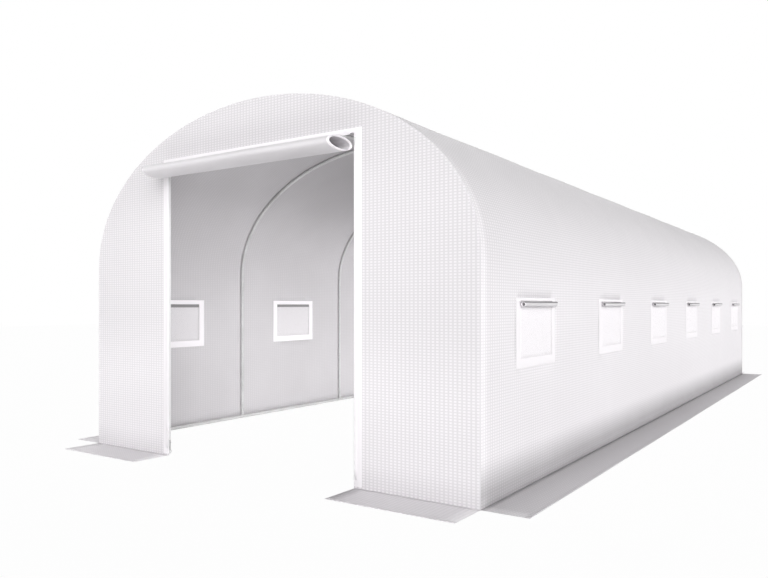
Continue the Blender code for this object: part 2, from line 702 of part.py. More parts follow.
def main():
    clear_scene()
    parts = new_collection(OBJECT_NAME)
    cutters = new_collection(f"{OBJECT_NAME}_cutters")
    zinc = principled("galvanised_steel", (0.55, 0.56, 0.57), 0.45, 1.0)
    white_steel = principled("white_coated_steel", (0.86, 0.86, 0.86), 0.35, 0.0)
    sheet = principled("woven_cover", (0.88, 0.88, 0.88), 0.55)
    skirt_sheet = principled("ground_skirt", (0.60, 0.60, 0.60), 0.60)
    webbing = principled("white_webbing", (0.93, 0.93, 0.93), 0.65)
    mesh = principled("window_mesh", (0.84, 0.84, 0.84), 0.60)
    flap = principled("rolled_flap", (0.82, 0.82, 0.82), 0.50)
    nylon = principled("zip_nylon", (0.80, 0.80, 0.80), 0.45)

    make_hoops(parts, zinc)
    make_ridge_purlin(parts, zinc)
    make_ground_rails(parts, zinc)
    make_end_frames(parts, white_steel, zinc)
    make_main_cover(parts, cutters, sheet)
    make_end_panels(parts, sheet)
    make_skirts(parts, skirt_sheet)
    make_door_border(parts, webbing)
    make_zips(parts, webbing, nylon)
    make_door_flap(parts, flap)
    make_windows(parts, mesh)
    make_window_rolls(parts, flap)


main()
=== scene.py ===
"""A walk-in garden tunnel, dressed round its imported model: the woven cover with its front and
back panels, the roll-up door and its zips, twelve mesh windows, the ground skirts and the
galvanised frame. Metres, +Z up, the door end towards -Y."""

import math
from bisect import bisect_right
from contextlib import contextmanager
from functools import cache

import bmesh
import bpy
from bpy.props import FloatProperty, FloatVectorProperty, IntProperty, PointerProperty
from mathutils import Matrix, Vector


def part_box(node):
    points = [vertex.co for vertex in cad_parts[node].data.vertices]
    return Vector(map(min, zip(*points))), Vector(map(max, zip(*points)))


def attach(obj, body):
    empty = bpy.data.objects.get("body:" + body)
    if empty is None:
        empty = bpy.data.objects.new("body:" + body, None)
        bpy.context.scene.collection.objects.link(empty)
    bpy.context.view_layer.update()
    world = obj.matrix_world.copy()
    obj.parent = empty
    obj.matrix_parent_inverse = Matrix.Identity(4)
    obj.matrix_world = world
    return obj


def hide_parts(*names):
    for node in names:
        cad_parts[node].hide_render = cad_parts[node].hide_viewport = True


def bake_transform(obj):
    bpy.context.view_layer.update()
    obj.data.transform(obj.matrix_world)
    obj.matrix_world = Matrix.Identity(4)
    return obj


bl_info = {
    "name": "Garden Tunnel",
    "version": (1, 0, 0),
    "blender": (4, 5, 0),
    "location": "View3D > Sidebar > Tunnel",
    "description": "Cloth, netting, webbing and galvanised tube for a walk-in garden tunnel",
    "category": "Object",
}

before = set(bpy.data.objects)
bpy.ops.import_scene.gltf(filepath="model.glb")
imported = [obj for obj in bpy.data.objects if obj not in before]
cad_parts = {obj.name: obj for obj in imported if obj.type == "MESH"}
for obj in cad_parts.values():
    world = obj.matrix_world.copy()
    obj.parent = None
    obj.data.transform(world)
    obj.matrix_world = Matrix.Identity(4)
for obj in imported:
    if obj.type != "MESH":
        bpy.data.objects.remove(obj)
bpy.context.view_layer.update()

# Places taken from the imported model
COVER_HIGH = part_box("main_cover")[1]
BORDER_LOW, BORDER_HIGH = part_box("door_border")
WINDOW_LOW, WINDOW_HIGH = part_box("window_right_1")
WINDOW_ROLL_LOW, WINDOW_ROLL_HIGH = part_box("window_roll_right_1")
ROLL_LOW, ROLL_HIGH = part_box("door_flap_roll")
HEADER_LOW, HEADER_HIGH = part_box("door_flap_header")
RAIL_LOW, RAIL_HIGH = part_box("ground_rail_right")
POST_LOW, POST_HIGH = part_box("door_post_right")
CROSSBAR_LOW, CROSSBAR_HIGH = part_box("door_crossbar")
PURLIN_LOW, PURLIN_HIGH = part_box("ridge_purlin")
TUNNEL = "tunnel"
SIDES = ((-1, "left"), (1, "right"))
HOOPS = 7
WINDOWS_PER_SIDE = 6
HALF_WIDTH = COVER_HIGH.x
FRONT_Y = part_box("front_panel")[0].y
HOOP_Y = [sum(c.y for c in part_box(f"hoop_{n + 1}")) / 2 for n in range(HOOPS)]
WINDOW_Y = [sum(c.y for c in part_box(f"window_right_{n + 1}")) / 2 for n in range(WINDOWS_PER_SIDE)]
WINDOW_Z = (WINDOW_LOW.z + WINDOW_HIGH.z) / 2
WINDOW_LAP = 0.012  # how far the netting reaches under a window's border
POST_X = (POST_LOW.x + POST_HIGH.x) / 2
POST_Y = (POST_LOW.y + POST_HIGH.y) / 2
SOCKET_TOP = RAIL_HIGH.z
FOOT_Z = SOCKET_TOP - 0.055  # the lower ends of the hoops and posts, inside their sockets
RAIL_Z = RAIL_LOW.z + 0.0139  # the axis of the ground rails
BOLT_Z = 0.070  # the bolts at the feet of the hoops and posts
PLATE_INSET = 0.0806  # from a side rail's end to the middle of its foot plate
FRAME_INSET = 0.0018  # from the cover's outside to the tubes under it
FRAME_GAP = 0.0003  # between tubes that rest on each other
SWAGE = 0.0025  # how far a tube is drawn in below the top of its socket
SEAM_EDGE = 0.005  # from a border's edge to its row of stitches
SHEET_GAP = 0.0002  # between a sheet and what it lies on
LAYER_GAP = 0.0004  # between two thicknesses of cloth
ARCH_ROWS = 72  # steps of the cover and of the end panels' seams over the arch


def length(name, description, metres):
    """A length setting with this default."""
    return FloatProperty(name=name, description=description, default=metres, unit="LENGTH")


def colour(name, description, grey, tint=(1.0, 1.0, 1.0)):
    """A colour setting whose default is this grey with this tint."""
    return FloatVectorProperty(
        name=name,
        description=description,
        subtype="COLOR",
        size=3,
        min=0.0,
        max=1.0,
        default=tuple(grey * share for share in tint),
    )


class TunnelSizes(bpy.types.PropertyGroup):
    """Sizes of the cloth, the seams and the tube"""

    wall_height: length("Wall Height", "Height of the upright walls, where the arch springs", 1.225)
    cloth: length("Cover Thickness", "Thickness of the woven cover", 0.0014)
    sag: length("Sag", "How far the roof hangs in between two hoops", 0.003)
    net_width: length("Net Width", "Width of one cell of the reinforcing net", 0.0250)
    net_height: length("Net Height", "Height of one cell of the reinforcing net", 0.0150)
    thread_pitch: length("Thread Pitch", "Distance between two woven tapes of the cover", 0.0025)
    netting_pitch: length("Netting Pitch", "Distance between two threads of the netting", 0.0030)
    door_jamb: length("Door Border", "Width of the webbing down the doorway's sides", 0.052)
    door_lintel: length("Door Top Border", "Width of the webbing over the doorway", 0.026)
    window_border: length("Window Border", "Width of the webbing round a window", 0.048)
    window_lintel: length("Window Top Border", "Width of the webbing over a window", 0.031)
    webbing: length("Webbing Thickness", "Thickness of the borders", 0.0012)
    binding: length("Binding", "Width of the white binding at the ends of the rolled door", 0.012)
    stitch: length("Stitch Length", "Length of one stitch", 0.0045)
    stitch_pitch: length("Stitch Pitch", "Distance from one stitch to the next", 0.0070)
    tooth_pitch: length("Tooth Pitch", "Distance between two teeth of a zip", 0.0040)
    tube_radius: length("Tube Radius", "Outer radius of the frame's tubes", 0.0125)
    tube_wall: length("Tube Wall", "Wall thickness of the frame's tubes", 0.0012)
    tube_sides: IntProperty(name="Tube Sides", description="Faces round a tube", default=24, min=12)


LILAC = (1.0, 0.973, 1.0)  # the faint tint of all the white cloth


class TunnelColours(bpy.types.PropertyGroup):
    """Colours of the finishes"""

    film: colour("Cover", "Outer face of the cover between the net's threads", 0.94, LILAC)
    film_net: colour("Cover Net", "Reinforcing net on the outer face", 0.80, LILAC)
    # painted shade: the inner face of the cover and its net are given a darker grey than the outer face
    lining: colour("Cover Inside", "Inner face of the cover between the net's threads", 0.67, LILAC)
    lining_net: colour("Cover Net Inside", "Reinforcing net on the inner face", 0.61, LILAC)
    webbing: colour("Webbing", "Borders and bindings", 0.97, LILAC)
    skirt: colour("Ground Skirt", "Ground skirts' cloth", 0.89, LILAC)
    skirt_net: colour("Ground Skirt Net", "Reinforcing net of the ground skirts", 0.81, LILAC)
    # painted shade: the skirt along the right wall is given a darker grey than the other skirts
    worn_skirt: colour("Right Skirt", "Cloth of the dustier skirt along the right wall", 0.78, LILAC)
    shaded_skirt_net: colour("Right Skirt Net", "Reinforcing net of that skirt", 0.70, LILAC)
    # painted shade: the rolled flaps are given a darker grey than the same cloth where it hangs
    flap: colour("Rolled Flaps", "Door flap and window flaps", 0.755, LILAC)
    hung: colour("Hanging Flaps", "Flaps' cloth between the seam and the roll", 0.82, LILAC)
    hung_net: colour("Hanging Flaps' Net", "Reinforcing net of that cloth", 0.72, LILAC)
    netting: colour("Netting", "Windows' netting", 0.98, LILAC)
    # painted shade: the netting's inner face is given a greyer tone than its outer face
    netting_back: colour("Netting Inside", "Inner face of the windows' netting", 0.75, LILAC)
    # painted shadow: this dark tape stands where the flaps' rolls shade the windows' tops
    tape: colour("Seam Tape", "Dark tape over the seam of a window's flap", 0.28, LILAC)
    zinc: colour("Zinc", "Galvanised tube", 0.70)
    paint: colour("White Paint", "Coated door frame", 0.93)
    nylon: colour("Nylon", "Zip teeth and sliders", 0.86)
    floor: colour("Floor", "Studio floor", 0.70)


def sizes():
    return bpy.context.scene.tunnel_sizes


def colours():
    return bpy.context.scene.tunnel_colours


class Mask:
    """A number on a socket. An expression on it adds the Math nodes that work it out."""

    def __init__(self, finish, socket):
        self.finish, self.socket = finish, socket

    def __add__(self, other):
        return self.finish.math("ADD", self, other)

    def __sub__(self, other):
        return self.finish.math("SUBTRACT", self, other)

    def __rsub__(self, other):
        return self.finish.math("SUBTRACT", other, self)

    def __mul__(self, other):
        return self.finish.math("MULTIPLY", self, other)

    def __truediv__(self, other):
        return self.finish.math("DIVIDE", self, other)

    __radd__, __rmul__ = __add__, __mul__

    def either(self, other):
        return self.finish.math("MAXIMUM", self, other)

    def off_middle(self):
        """How far a number is from the middle of its whole step, from 0 to 0.5."""
        return self.finish.math("ABSOLUTE", self.finish.math("FRACT", self) - 0.5)

    def ramp(self, low, high):
        """Eased from 0 at low to 1 at high."""
        settings = {"interpolation_type": "SMOOTHSTEP"}
        values = {"Value": self, "From Min": low, "From Max": high}
        return Mask(self.finish, self.finish.node("ShaderNodeMapRange", settings, values).outputs[0])

    def thread(self, pitch):
        """A round thread along each whole step of this pitch."""
        return self.finish.math("COSINE", self * (2 * math.pi / pitch)) * 0.5 + 0.5


class Nodes:
    """A node tree. Every node in it comes from node()."""

    def __init__(self, tree):
        self.tree = tree

    def node(self, kind, settings=None, values=None):
        made = self.tree.nodes.new(kind)
        for word, value in (settings or {}).items():
            setattr(made, word, value)
        for key, value in (values or {}).items():
            self.feed(made.inputs[key], value)
        return made

    def feed(self, socket, value):
        if isinstance(value, Mask):
            value = value.socket
        if isinstance(value, bpy.types.NodeSocket):
            self.tree.links.new(value, socket)
        elif socket.type == "RGBA" and len(value) == 3:
            socket.default_value = (*value, 1.0)
        else:
            socket.default_value = value

    def math(self, operation, *values):
        made = self.node("ShaderNodeMath", {"operation": operation}, dict(enumerate(values)))
        return Mask(self, made.outputs[0])

    def split(self, vector):
        """The three numbers of a vector."""
        made = self.node("ShaderNodeSeparateXYZ", values={0: vector})
        return [Mask(self, output) for output in made.outputs]

    def whitened(self, output, plain, kind, share=1.0):
        """Puts out the plain shader, and this share of white where it is seen plainly.

        That is by the camera, straight or by way of a mirror or glass."""
        rays = self.node("ShaderNodeLightPath").outputs
        seen = Mask(self, rays["Is Camera Ray"]).either(rays["Is Glossy Ray"])
        seen = seen.either(rays["Is Transmission Ray"])
        white = self.node(kind, values={"Color": (1, 1, 1), "Strength": 1.0})
        values = {0: seen * share, 1: plain, 2: white.outputs[0]}
        mixed = self.node("ShaderNodeMixShader", values=values)
        self.feed(self.tree.nodes[output].inputs["Surface"], mixed.outputs[0])


class Finish(Nodes):
    """A material. Its even values are set on the shader, and what varies is linked to it."""

    odd_names = {"ior": "IOR", "specular": "Specular IOR Level"}

    def __init__(self, name, colour, **even):
        self.material = bpy.data.materials.new(name)
        self.material.use_nodes = True
        super().__init__(self.material.node_tree)
        self.shader = self.tree.nodes["Principled BSDF"]
        self.shader.inputs["Base Color"].default_value = (*colour, 1.0)
        self.material.diffuse_color = (*colour, 1.0)
        for word, value in even.items():
            word = self.odd_names.get(word) or word.replace("_", " ").title()
            self.shader.inputs[word].default_value = value

    def link(self, word, value):
        self.feed(self.shader.inputs[word], value)

    def cloth(self):
        """The piece's own map: metres across and along its cloth."""
        return self.split(self.node("ShaderNodeUVMap", {"uv_map": "cloth"}).outputs[0])[:2]

    def place(self):
        return self.node("ShaderNodeTexCoord").outputs["Object"]

    def noise(self, scale, detail, stretch=None):
        """Noise over the place, or over the place times the stretch."""
        vector = self.place()
        if stretch:
            settings = {"operation": "MULTIPLY"}
            vector = self.node("ShaderNodeVectorMath", settings, {0: vector, 1: stretch}).outputs[0]
        values = {"Vector": vector, "Scale": scale, "Detail": detail}
        return Mask(self, self.node("ShaderNodeTexNoise", values=values).outputs[0])

    def between(self, mask, first, second):
        """The first colour where the mask is 0, and the second where it is 1."""
        values = {0: mask, 6: first, 7: second}
        return self.node("ShaderNodeMix", {"data_type": "RGBA"}, values).outputs[2]

    def dulled(self, *layers):
        """Darkens the base colour, where each mask is 1, to that mask's share of itself."""
        base = self.shader.inputs["Base Color"]
        settings = {"data_type": "RGBA", "blend_type": "MULTIPLY"}
        for mask, share in layers:
            tone = base.links[0].from_socket if base.is_linked else base.default_value[:3]
            values = {0: mask, 6: tone, 7: (share, share, share)}
            self.feed(base, self.node("ShaderNodeMix", settings, values).outputs[2])
        return self

    def relief(self, height, depth, strength):
        """Raises the surface by this depth, in metres, where the height is 1."""
        values = {"Height": height, "Distance": depth, "Strength": strength}
        self.link("Normal", self.node("ShaderNodeBump", values=values).outputs[0])
        return self


def net_bars(u, v, bar):
    """1 on the bars of the reinforcing net and 0 in the middle of its cells."""
    size = sizes()
    soft = 0.09
    edge = 0.5 - bar / 2
    across = (u / size.net_width).off_middle().ramp(edge - soft, edge + soft)
    upright = (v / size.net_height).off_middle().ramp(edge - soft, edge + soft)
    return across.either(upright)


def tape_weave(u, v):
    """The flat tapes that the cloth is woven from, over and under each other."""
    pitch = sizes().thread_pitch
    over = u.thread(pitch) * v.thread(2 * pitch)
    under = v.thread(pitch) * (1 - v.thread(2 * pitch))
    return over.either(under)


def woven_film(name, film, net, bar=0.42, gloss=0.50, axes=None):
    """White film over a woven net: pale cells between greyer bars, faint creases and clouds.

    The net is laid out on the cloth, or on two axes of its place where the piece stretches."""
    made = Finish(name, film, roughness=gloss, specular=0.16, sheen_weight=0.02, sheen_roughness=0.5)
    u, v = [made.split(made.place())[axis] for axis in axes] if axes else made.cloth()
    bars, weave = net_bars(u, v, bar), tape_weave(u, v)
    clouds = made.noise(0.9, 3.0)
    crease = made.noise(2.2, 4.0, (1.0, 0.45, 1.6))
    made.link("Base Color", made.between(bars, film, net))
    made.link("Roughness", gloss + bars * 0.10 + clouds * 0.06)
    made.relief(bars * 0.55 + weave * 0.25 + crease * 0.5, 0.0006, 0.55)
    return made.dulled((weave * 0.6, 0.965), (clouds.ramp(0.35, 0.75), 0.975))


def make_film(name):
    """The cover's outside, with painted shade along the foot of the walls and, fainter, up to the ridge.
    """
    made = woven_film(name, colours().film, colours().film_net)
    z = made.split(made.place())[2]
    patches = 0.88 + made.noise(3.0, 3.0) * 0.24
    # painted shade along the foot of the walls, in random patches
    foot_shade = (1 - z.ramp(0.06, 0.25)) * (0.50 + z.ramp(0.0, 0.07) * 0.50)
    # the second layer is painted shade, darker with height and most towards the ridge
    return made.dulled((foot_shade * patches, 0.60), (z.ramp(0.85, 1.9) * patches, 0.72))


def make_panel_film(name):
    """The end panels' outside: darker at the foot, and painted shade that makes it duller higher up."""
    made = woven_film(name, colours().film, colours().film_net)
    z = made.split(made.place())[2]
    patches = 0.88 + made.noise(3.0, 3.0) * 0.24
    # darker at the foot; the two upper layers are painted shade, duller with height
    levels = ((1 - z.ramp(0.0, 0.16), 0.88), (z.ramp(0.45, 0.95), 0.90), (z.ramp(1.4, 2.0), 0.95))
    return made.dulled(*((level * patches, share) for level, share in levels))


def make_lining(name):
    """The inside of the cover and of the end panels, with painted shade under the ridge and towards the
    back, in soft clouds.
    """
    made = woven_film(name, colours().lining, colours().lining_net, bar=0.5)
    _, y, z = made.split(made.place())
    clouds = made.noise(1.8, 4.0).ramp(0.3, 0.7)
    # painted shade, darker high up under the ridge, mixed with random clouds
    high = z.ramp(1.2, 2.1) * 0.6 + clouds * 0.4
    # the second layer is painted shade, darker still high up towards the back
    return made.dulled((high, 0.90), (z.ramp(1.5, 2.05) * y.ramp(-3.6, -1.8), 0.78))


def make_skirt_film(name):
    return woven_film(name, colours().skirt, colours().skirt_net, bar=0.5, gloss=0.55)


def make_shaded_skirt_film(name):
    """The right skirt: painted shade, darkest next to the wall and towards the back."""
    made = woven_film(name, colours().worn_skirt, colours().shaded_skirt_net, bar=0.5, gloss=0.6)
    x, y, _ = made.split(made.place())
    # painted shade next to the wall
    reach = 1 - made.math("ABSOLUTE", x).ramp(HALF_WIDTH, HALF_WIDTH + 0.25)
    # and painted shade towards the back
    return made.dulled((reach * 0.45 + y.ramp(-4.3, -1.5) * 0.55, 0.71))


def make_hung_door_film(name):
    """The door's sheet between its seam and the roll, also when it is let down."""
    return woven_film(name, colours().hung, colours().hung_net, axes=(0, 2))


def make_hung_window_film(name):
    return woven_film(name, colours().hung, colours().hung_net, axes=(1, 2))


def make_flap_film(name):
    """The flaps' softer film: fine ribs along the cloth and long soft creases."""
    made = Finish(name, colours().flap, roughness=0.40, ior=1.48, sheen_weight=0.05, sheen_roughness=0.5)
    weave = tape_weave(*made.cloth())
    folds = made.noise(1.6, 3.0, (0.6, 3.0, 3.0))
    made.dulled((weave, 0.965), (folds.ramp(0.35, 0.8), 0.94))
    made.link("Roughness", 0.38 + weave * 0.05 + folds * 0.08)
    return made.relief(weave * 0.3 + folds * 0.8, 0.0008, 0.5)


def make_webbing(name):
    """White binding tape: fine ribs both ways."""
    made = Finish(name, colours().webbing, roughness=0.62, sheen_weight=0.08, sheen_roughness=0.4)
    u, v = made.cloth()
    ribs = u.thread(0.0016) * 0.5 + v.thread(0.0016) * 0.5
    made.dulled((1 - ribs, 0.955))
    made.link("Roughness", 0.58 + ribs * 0.10)
    return made.relief(ribs + made.noise(30.0, 2.0) * 0.5, 0.0003, 0.5)


def make_thread(name):
    made = Finish(name, colours().webbing, roughness=0.5, sheen_weight=0.1)
    twist = made.noise(900.0, 1.0)
    return made.dulled((twist, 0.86)).relief(twist, 0.0002, 0.5)


def make_netting(name, tone=None):
    """Insect netting: white threads both ways with small holes between them."""
    tone = tone or colours().netting
    made = Finish(name, tone, roughness=0.55, specular=0.2, sheen_weight=0.04)
    u, v = made.cloth()
    pitch = sizes().netting_pitch
    hole = 1 - (u / pitch).off_middle().either((v / pitch).off_middle()).ramp(0.07, 0.14)
    threads = u.thread(pitch).either(v.thread(pitch))
    made.dulled((1 - threads, 0.97))
    made.link("Alpha", 1 - hole * 0.85)
    made.link("Roughness", 0.50 + threads * 0.12)
    return made.relief(threads, 0.0004, 0.6)


# painted shade: the same netting, greyer on its inner face
def make_netting_back(name):
    return make_netting(name, colours().netting_back)


# the dark tape is painted shadow, along the windows' tops and the flaps' rolls
def make_shadow_tape(name):
    made = Finish(name, colours().tape, roughness=0.6)
    u, v = made.cloth()
    ribs = u.thread(0.0014) * 0.5 + v.thread(0.0020) * 0.5
    made.dulled((1 - ribs, 0.82))
    made.link("Roughness", 0.5 + ribs * 0.15)
    return made.relief(ribs, 0.0002, 0.5)


def make_zinc(name):
    """Galvanised tube: dull crystals of zinc, drawn lines and a few dull rubs."""
    made = Finish(name, colours().zinc, metallic=0.08, roughness=0.5, specular=0.3)
    crystals = made.node("ShaderNodeTexVoronoi", values={"Vector": made.place(), "Scale": 140.0})
    cell = made.node("ShaderNodeSeparateColor", values={0: crystals.outputs["Color"]})
    spangle = Mask(made, cell.outputs[0])
    rubs = made.noise(7.0, 5.0).ramp(0.45, 0.75)
    lines = made.noise(60.0, 3.0, (1.0, 1.0, 0.08))
    made.dulled((spangle * 0.5 + lines * 0.3, 0.80), (rubs, 0.86))
    made.link("Roughness", 0.38 + spangle * 0.12 + rubs * 0.18)
    made.link("Metallic", 0.10 - rubs * 0.08)
    return made.relief(spangle * 0.4 + lines * 0.6, 0.0002, 0.4)


def make_paint(name):
    """White powder coat with a fine orange peel and a few rubbed places."""
    made = Finish(name, colours().paint, roughness=0.35, coat_weight=0.15, coat_roughness=0.2)
    peel = made.noise(420.0, 2.0)
    rubs = made.noise(9.0, 5.0).ramp(0.55, 0.8)
    made.dulled((rubs, 0.93))
    made.link("Roughness", 0.30 + rubs * 0.15 + peel * 0.05)
    return made.relief(peel, 0.00015, 0.4)


def make_nylon(name):
    made = Finish(name, colours().nylon, roughness=0.38, ior=1.53)
    grain = made.noise(260.0, 3.0)
    wear = made.noise(45.0, 3.0).ramp(0.5, 0.75)
    made.dulled((wear, 0.92))
    made.link("Roughness", 0.32 + grain * 0.12 + wear * 0.08)
    return made.relief(grain, 0.0001, 0.4)


FINISH_MAKERS = {
    "woven_film": make_film,
    "panel_film": make_panel_film,
    "film_lining": make_lining,
    "skirt_film": make_skirt_film,
    # the right skirt's film, with painted shade
    "worn_skirt_film": make_shaded_skirt_film,
    "flap_film": make_flap_film,
    "hung_door_film": make_hung_door_film,
    "hung_window_film": make_hung_window_film,
    "webbing_tape": make_webbing,
    "sewing_thread": make_thread,
    "window_netting": make_netting,
    "netting_back": make_netting_back,
    # the dark tape, a painted shadow
    "seam_tape": make_shadow_tape,
    "zinc_coat": make_zinc,
    "white_coat": make_paint,
    "nylon_zip": make_nylon,
}


@cache
def finish_of(name):
    """The finish of this name, made the first time that it is asked for."""
    return FINISH_MAKERS[name](name).material


def only(obj):
    """Makes this the one selected and active object."""
    bpy.ops.object.select_all(action="DESELECT")
    obj.select_set(True)
    bpy.context.view_layer.objects.active = obj
    return obj


@contextmanager
def editing(obj, kind="FACE"):
    """Edit mode with nothing selected."""
    only(obj)
    bpy.ops.object.mode_set(mode="EDIT")
    bpy.ops.mesh.select_mode(type=kind)
    bpy.ops.mesh.select_all(action="DESELECT")
    yield
    bpy.ops.object.mode_set(mode="OBJECT")


def choose(obj, test, items="faces"):
    """Selects, in edit mode, what passes the test."""
    mesh = bmesh.from_edit_mesh(obj.data)
    for item in getattr(mesh, items):
        item.select_set(bool(test(item)))
    mesh.select_flush_mode()
    bmesh.update_edit_mesh(obj.data)


def divided(cuts=1):
    """Divides every edge, in edit mode, by this many cuts."""
    bpy.ops.mesh.select_all(action="SELECT")
    bpy.ops.mesh.subdivide(number_cuts=cuts)


def modify(obj, kind, **settings):
    """Adds a modifier with these settings and applies it."""
    only(obj)
    made = obj.modifiers.new(kind.lower(), kind)
    for word, value in settings.items():
        setattr(made, word, value)
    bpy.ops.object.modifier_apply(modifier=made.name)
    return obj


def thickened(obj, thickness, offset=-1.0, **settings):
    """Gives a sheet its thickness: inwards at the offset -1, outwards at 1, and half each at 0."""
    return modify(obj, "SOLIDIFY", thickness=thickness, offset=offset, **settings)


def softened(obj, width, segments=2, angle=40):
    """Rounds the edges that are sharper than the angle, and shades the others smooth."""
    limit = math.radians(angle)
    modify(obj, "BEVEL", width=width, segments=segments, limit_method="ANGLE", angle_limit=limit)
    bpy.ops.object.shade_smooth_by_angle(angle=limit)
    return obj


def folded(obj):
    """The rounded edges of sewn cloth."""
    return softened(obj, width=0.0005, segments=2, angle=50)


def dress(obj, *finishes):
    """Gives the piece its finishes, in the order of its faces' material numbers."""
    for name in finishes:
        obj.data.materials.append(finish_of(name))
    return obj


def placed(obj):
    """Puts the object's place into its mesh, and leaves the object at the origin."""
    only(obj)
    bpy.ops.object.transform_apply(location=True, rotation=True, scale=True)
    return obj


def joined(pieces):
    """The pieces as one object."""
    only(pieces[0])
    for piece in pieces[1:]:
        piece.select_set(True)
    bpy.ops.object.join()
    return pieces[0]


def linked(name, data):
    """A new object of the scene with this mesh, curve, lamp or lens."""
    obj = bpy.data.objects.new(name, data)
    bpy.context.scene.collection.objects.link(obj)
    return obj


def copied(obj, matrix):
    """Another object with its own mesh, moved by this matrix."""
    made = linked(obj.name, obj.data.copy())
    made.data.transform(matrix)
    if matrix.determinant() < 0:
        made.data.flip_normals()
    return made


def removed(*objects):
    for obj in objects:
        bpy.data.objects.remove(obj, do_unlink=True)


def handed_over(obj, name, slot, *nodes, body=TUNNEL):
    """The finished piece: named, riding on its body and standing for its nodes of the model."""
    placed(obj)
    obj.name = obj.data.name = name
    if body:
        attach(obj, body)
    if nodes:
        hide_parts(*nodes)
    return obj


def repeated(name, unit, places, finish):
    """One object with a copy of the unit at each of these places. The unit is removed."""
    corners = [vertex.co.copy() for vertex in unit.data.vertices]
    faces = [tuple(face.vertices) for face in unit.data.polygons]
    points, polygons = [], []
    for place in places:
        base = len(points)
        points += [place @ corner for corner in corners]
        polygons += [tuple(base + index for index in face) for face in faces]
    removed(unit)
    mesh = bpy.data.meshes.new(name)
    mesh.from_pydata(points, [], polygons)
    mesh.shade_smooth()
    return dress(linked(name, mesh), finish)


def filled(lines, gap):
    """The lines in order, with even steps added so that none are further apart than the gap."""
    lines = sorted(set(round(line, 5) for line in lines))
    full = [lines[0]]
    for start, end in pairs(lines):
        steps = max(1, math.ceil((end - start) / gap - 1e-6))
        full += [start + (end - start) * step / steps for step in range(1, steps + 1)]
    return full


def pairs(line):
    """The straight runs from each point of the line to the next."""
    return list(zip(line, line[1:]))


def eased(value, low, high):
    share = min(1.0, max(0.0, (value - low) / (high - low)))
    return share * share * (3 - 2 * share)


def cloth_grid(name, columns, rows, place, finishes, hole=None, number=None):
    """One layer of cloth through place(column, row), mapped in the metres it is cut to.

    place and number take the places' numbers in the two lists, and hole takes the metres."""
    made = bmesh.new()
    layer = made.loops.layers.uv.new("cloth")
    corners = [[made.verts.new(place(i, j)) for j in range(len(rows))] for i in range(len(columns))]
    for i, (a0, a1) in enumerate(pairs(columns)):
        for j, (b0, b1) in enumerate(pairs(rows)):
            if hole and hole((a0 + a1) / 2, (b0 + b1) / 2):
                continue
            ring = (corners[i][j], corners[i + 1][j], corners[i + 1][j + 1], corners[i][j + 1])
            face = made.faces.new(ring)
            face.smooth = True
            face.material_index = number(i, j) if number else 0
            for loop, spot in zip(face.loops, ((a0, b0), (a1, b0), (a1, b1), (a0, b1))):
                loop[layer].uv = spot
    loose = [vertex for vertex in made.verts if not vertex.link_faces]
    bmesh.ops.delete(made, geom=loose, context="VERTS")
    mesh = bpy.data.meshes.new(name)
    made.to_mesh(mesh)
    made.free()
    return dress(linked(name, mesh), *finishes)


def flat_map(obj, across, along):
    """Maps a flat piece by two of its axes, in metres."""
    mesh = obj.data
    layer = mesh.uv_layers.new(name="cloth")
    for loop in mesh.loops:
        spot = mesh.vertices[loop.vertex_index].co
        layer.data[loop.index].uv = (spot[across], spot[along])
    return obj


def faced(obj, direction, face=0):
    """Turns a sheet over if this one of its faces looks away from the direction."""
    if obj.data.polygons[face].normal.dot(Vector(direction)) < 0:
        obj.data.flip_normals()
    return obj


def drawn(points, radii, closed, settings):
    """A mesh from a curve with these settings, in straight steps through the points."""
    curve = bpy.data.curves.new("line", "CURVE")
    for word, value in settings.items():
        setattr(curve, word, value)
    spline = curve.splines.new("POLY")
    spline.points.add(len(points) - 1)
    spline.use_cyclic_u = closed
    for target, point, radius in zip(spline.points, points, radii):
        target.co = (*point, 1.0)
        target.radius = radius
    obj = only(linked("line", curve))
    bpy.ops.object.convert(target="MESH")
    return obj


def cut_flat(outline, y, side):
    """An upright piece of cloth cut to this outline (x, z), facing this side along Y."""
    points = [(*spot, 0.0) for spot in outline]
    obj = drawn(points, [1.0] * len(points), True, {"dimensions": "2D", "fill_mode": "BOTH"})
    obj.location, obj.rotation_euler = (0, y, 0), (math.pi / 2, 0, 0)
    return faced(flat_map(placed(obj), 0, 2), (0, side, 0))


def lengths(points):
    """How far along the line each of these points is."""
    runs = [0.0]
    for start, end in pairs(points):
        runs.append(runs[-1] + (end - start).length)
    return runs


def arch_rise():
    return COVER_HIGH.z - sizes().wall_height


@cache
def arch_table():
    """The arch's outside in fine steps: the lengths from the right springing, and the angles."""
    steps = 720
    angles = [math.pi * step / steps for step in range(steps + 1)]
    rise = arch_rise()
    points = [Vector((HALF_WIDTH * math.cos(angle), rise * math.sin(angle))) for angle in angles]
    return lengths(points), angles


def arch_length():
    return arch_table()[0][-1]


def arch_spot(run, inset):
    """The point (x, z) at this length along the arch, this far inside of it, and its normal."""
    runs, angles = arch_table()
    high = min(max(bisect_right(runs, run), 1), len(runs) - 1)
    low = high - 1
    part = (run - runs[low]) / (runs[high] - runs[low])
    angle = angles[low] + (angles[high] - angles[low]) * min(1.0, max(0.0, part))
    normal = Vector((math.cos(angle) / HALF_WIDTH, math.sin(angle) / arch_rise())).normalized()
    height = sizes().wall_height + arch_rise() * math.sin(angle)
    return Vector((HALF_WIDTH * math.cos(angle), height)) - normal * inset, normal


def arch_line(steps, inset):
    """Points in even steps over the whole arch, this far inside of it."""
    return [arch_spot(arch_length() * step / steps, inset)[0] for step in range(steps + 1)]


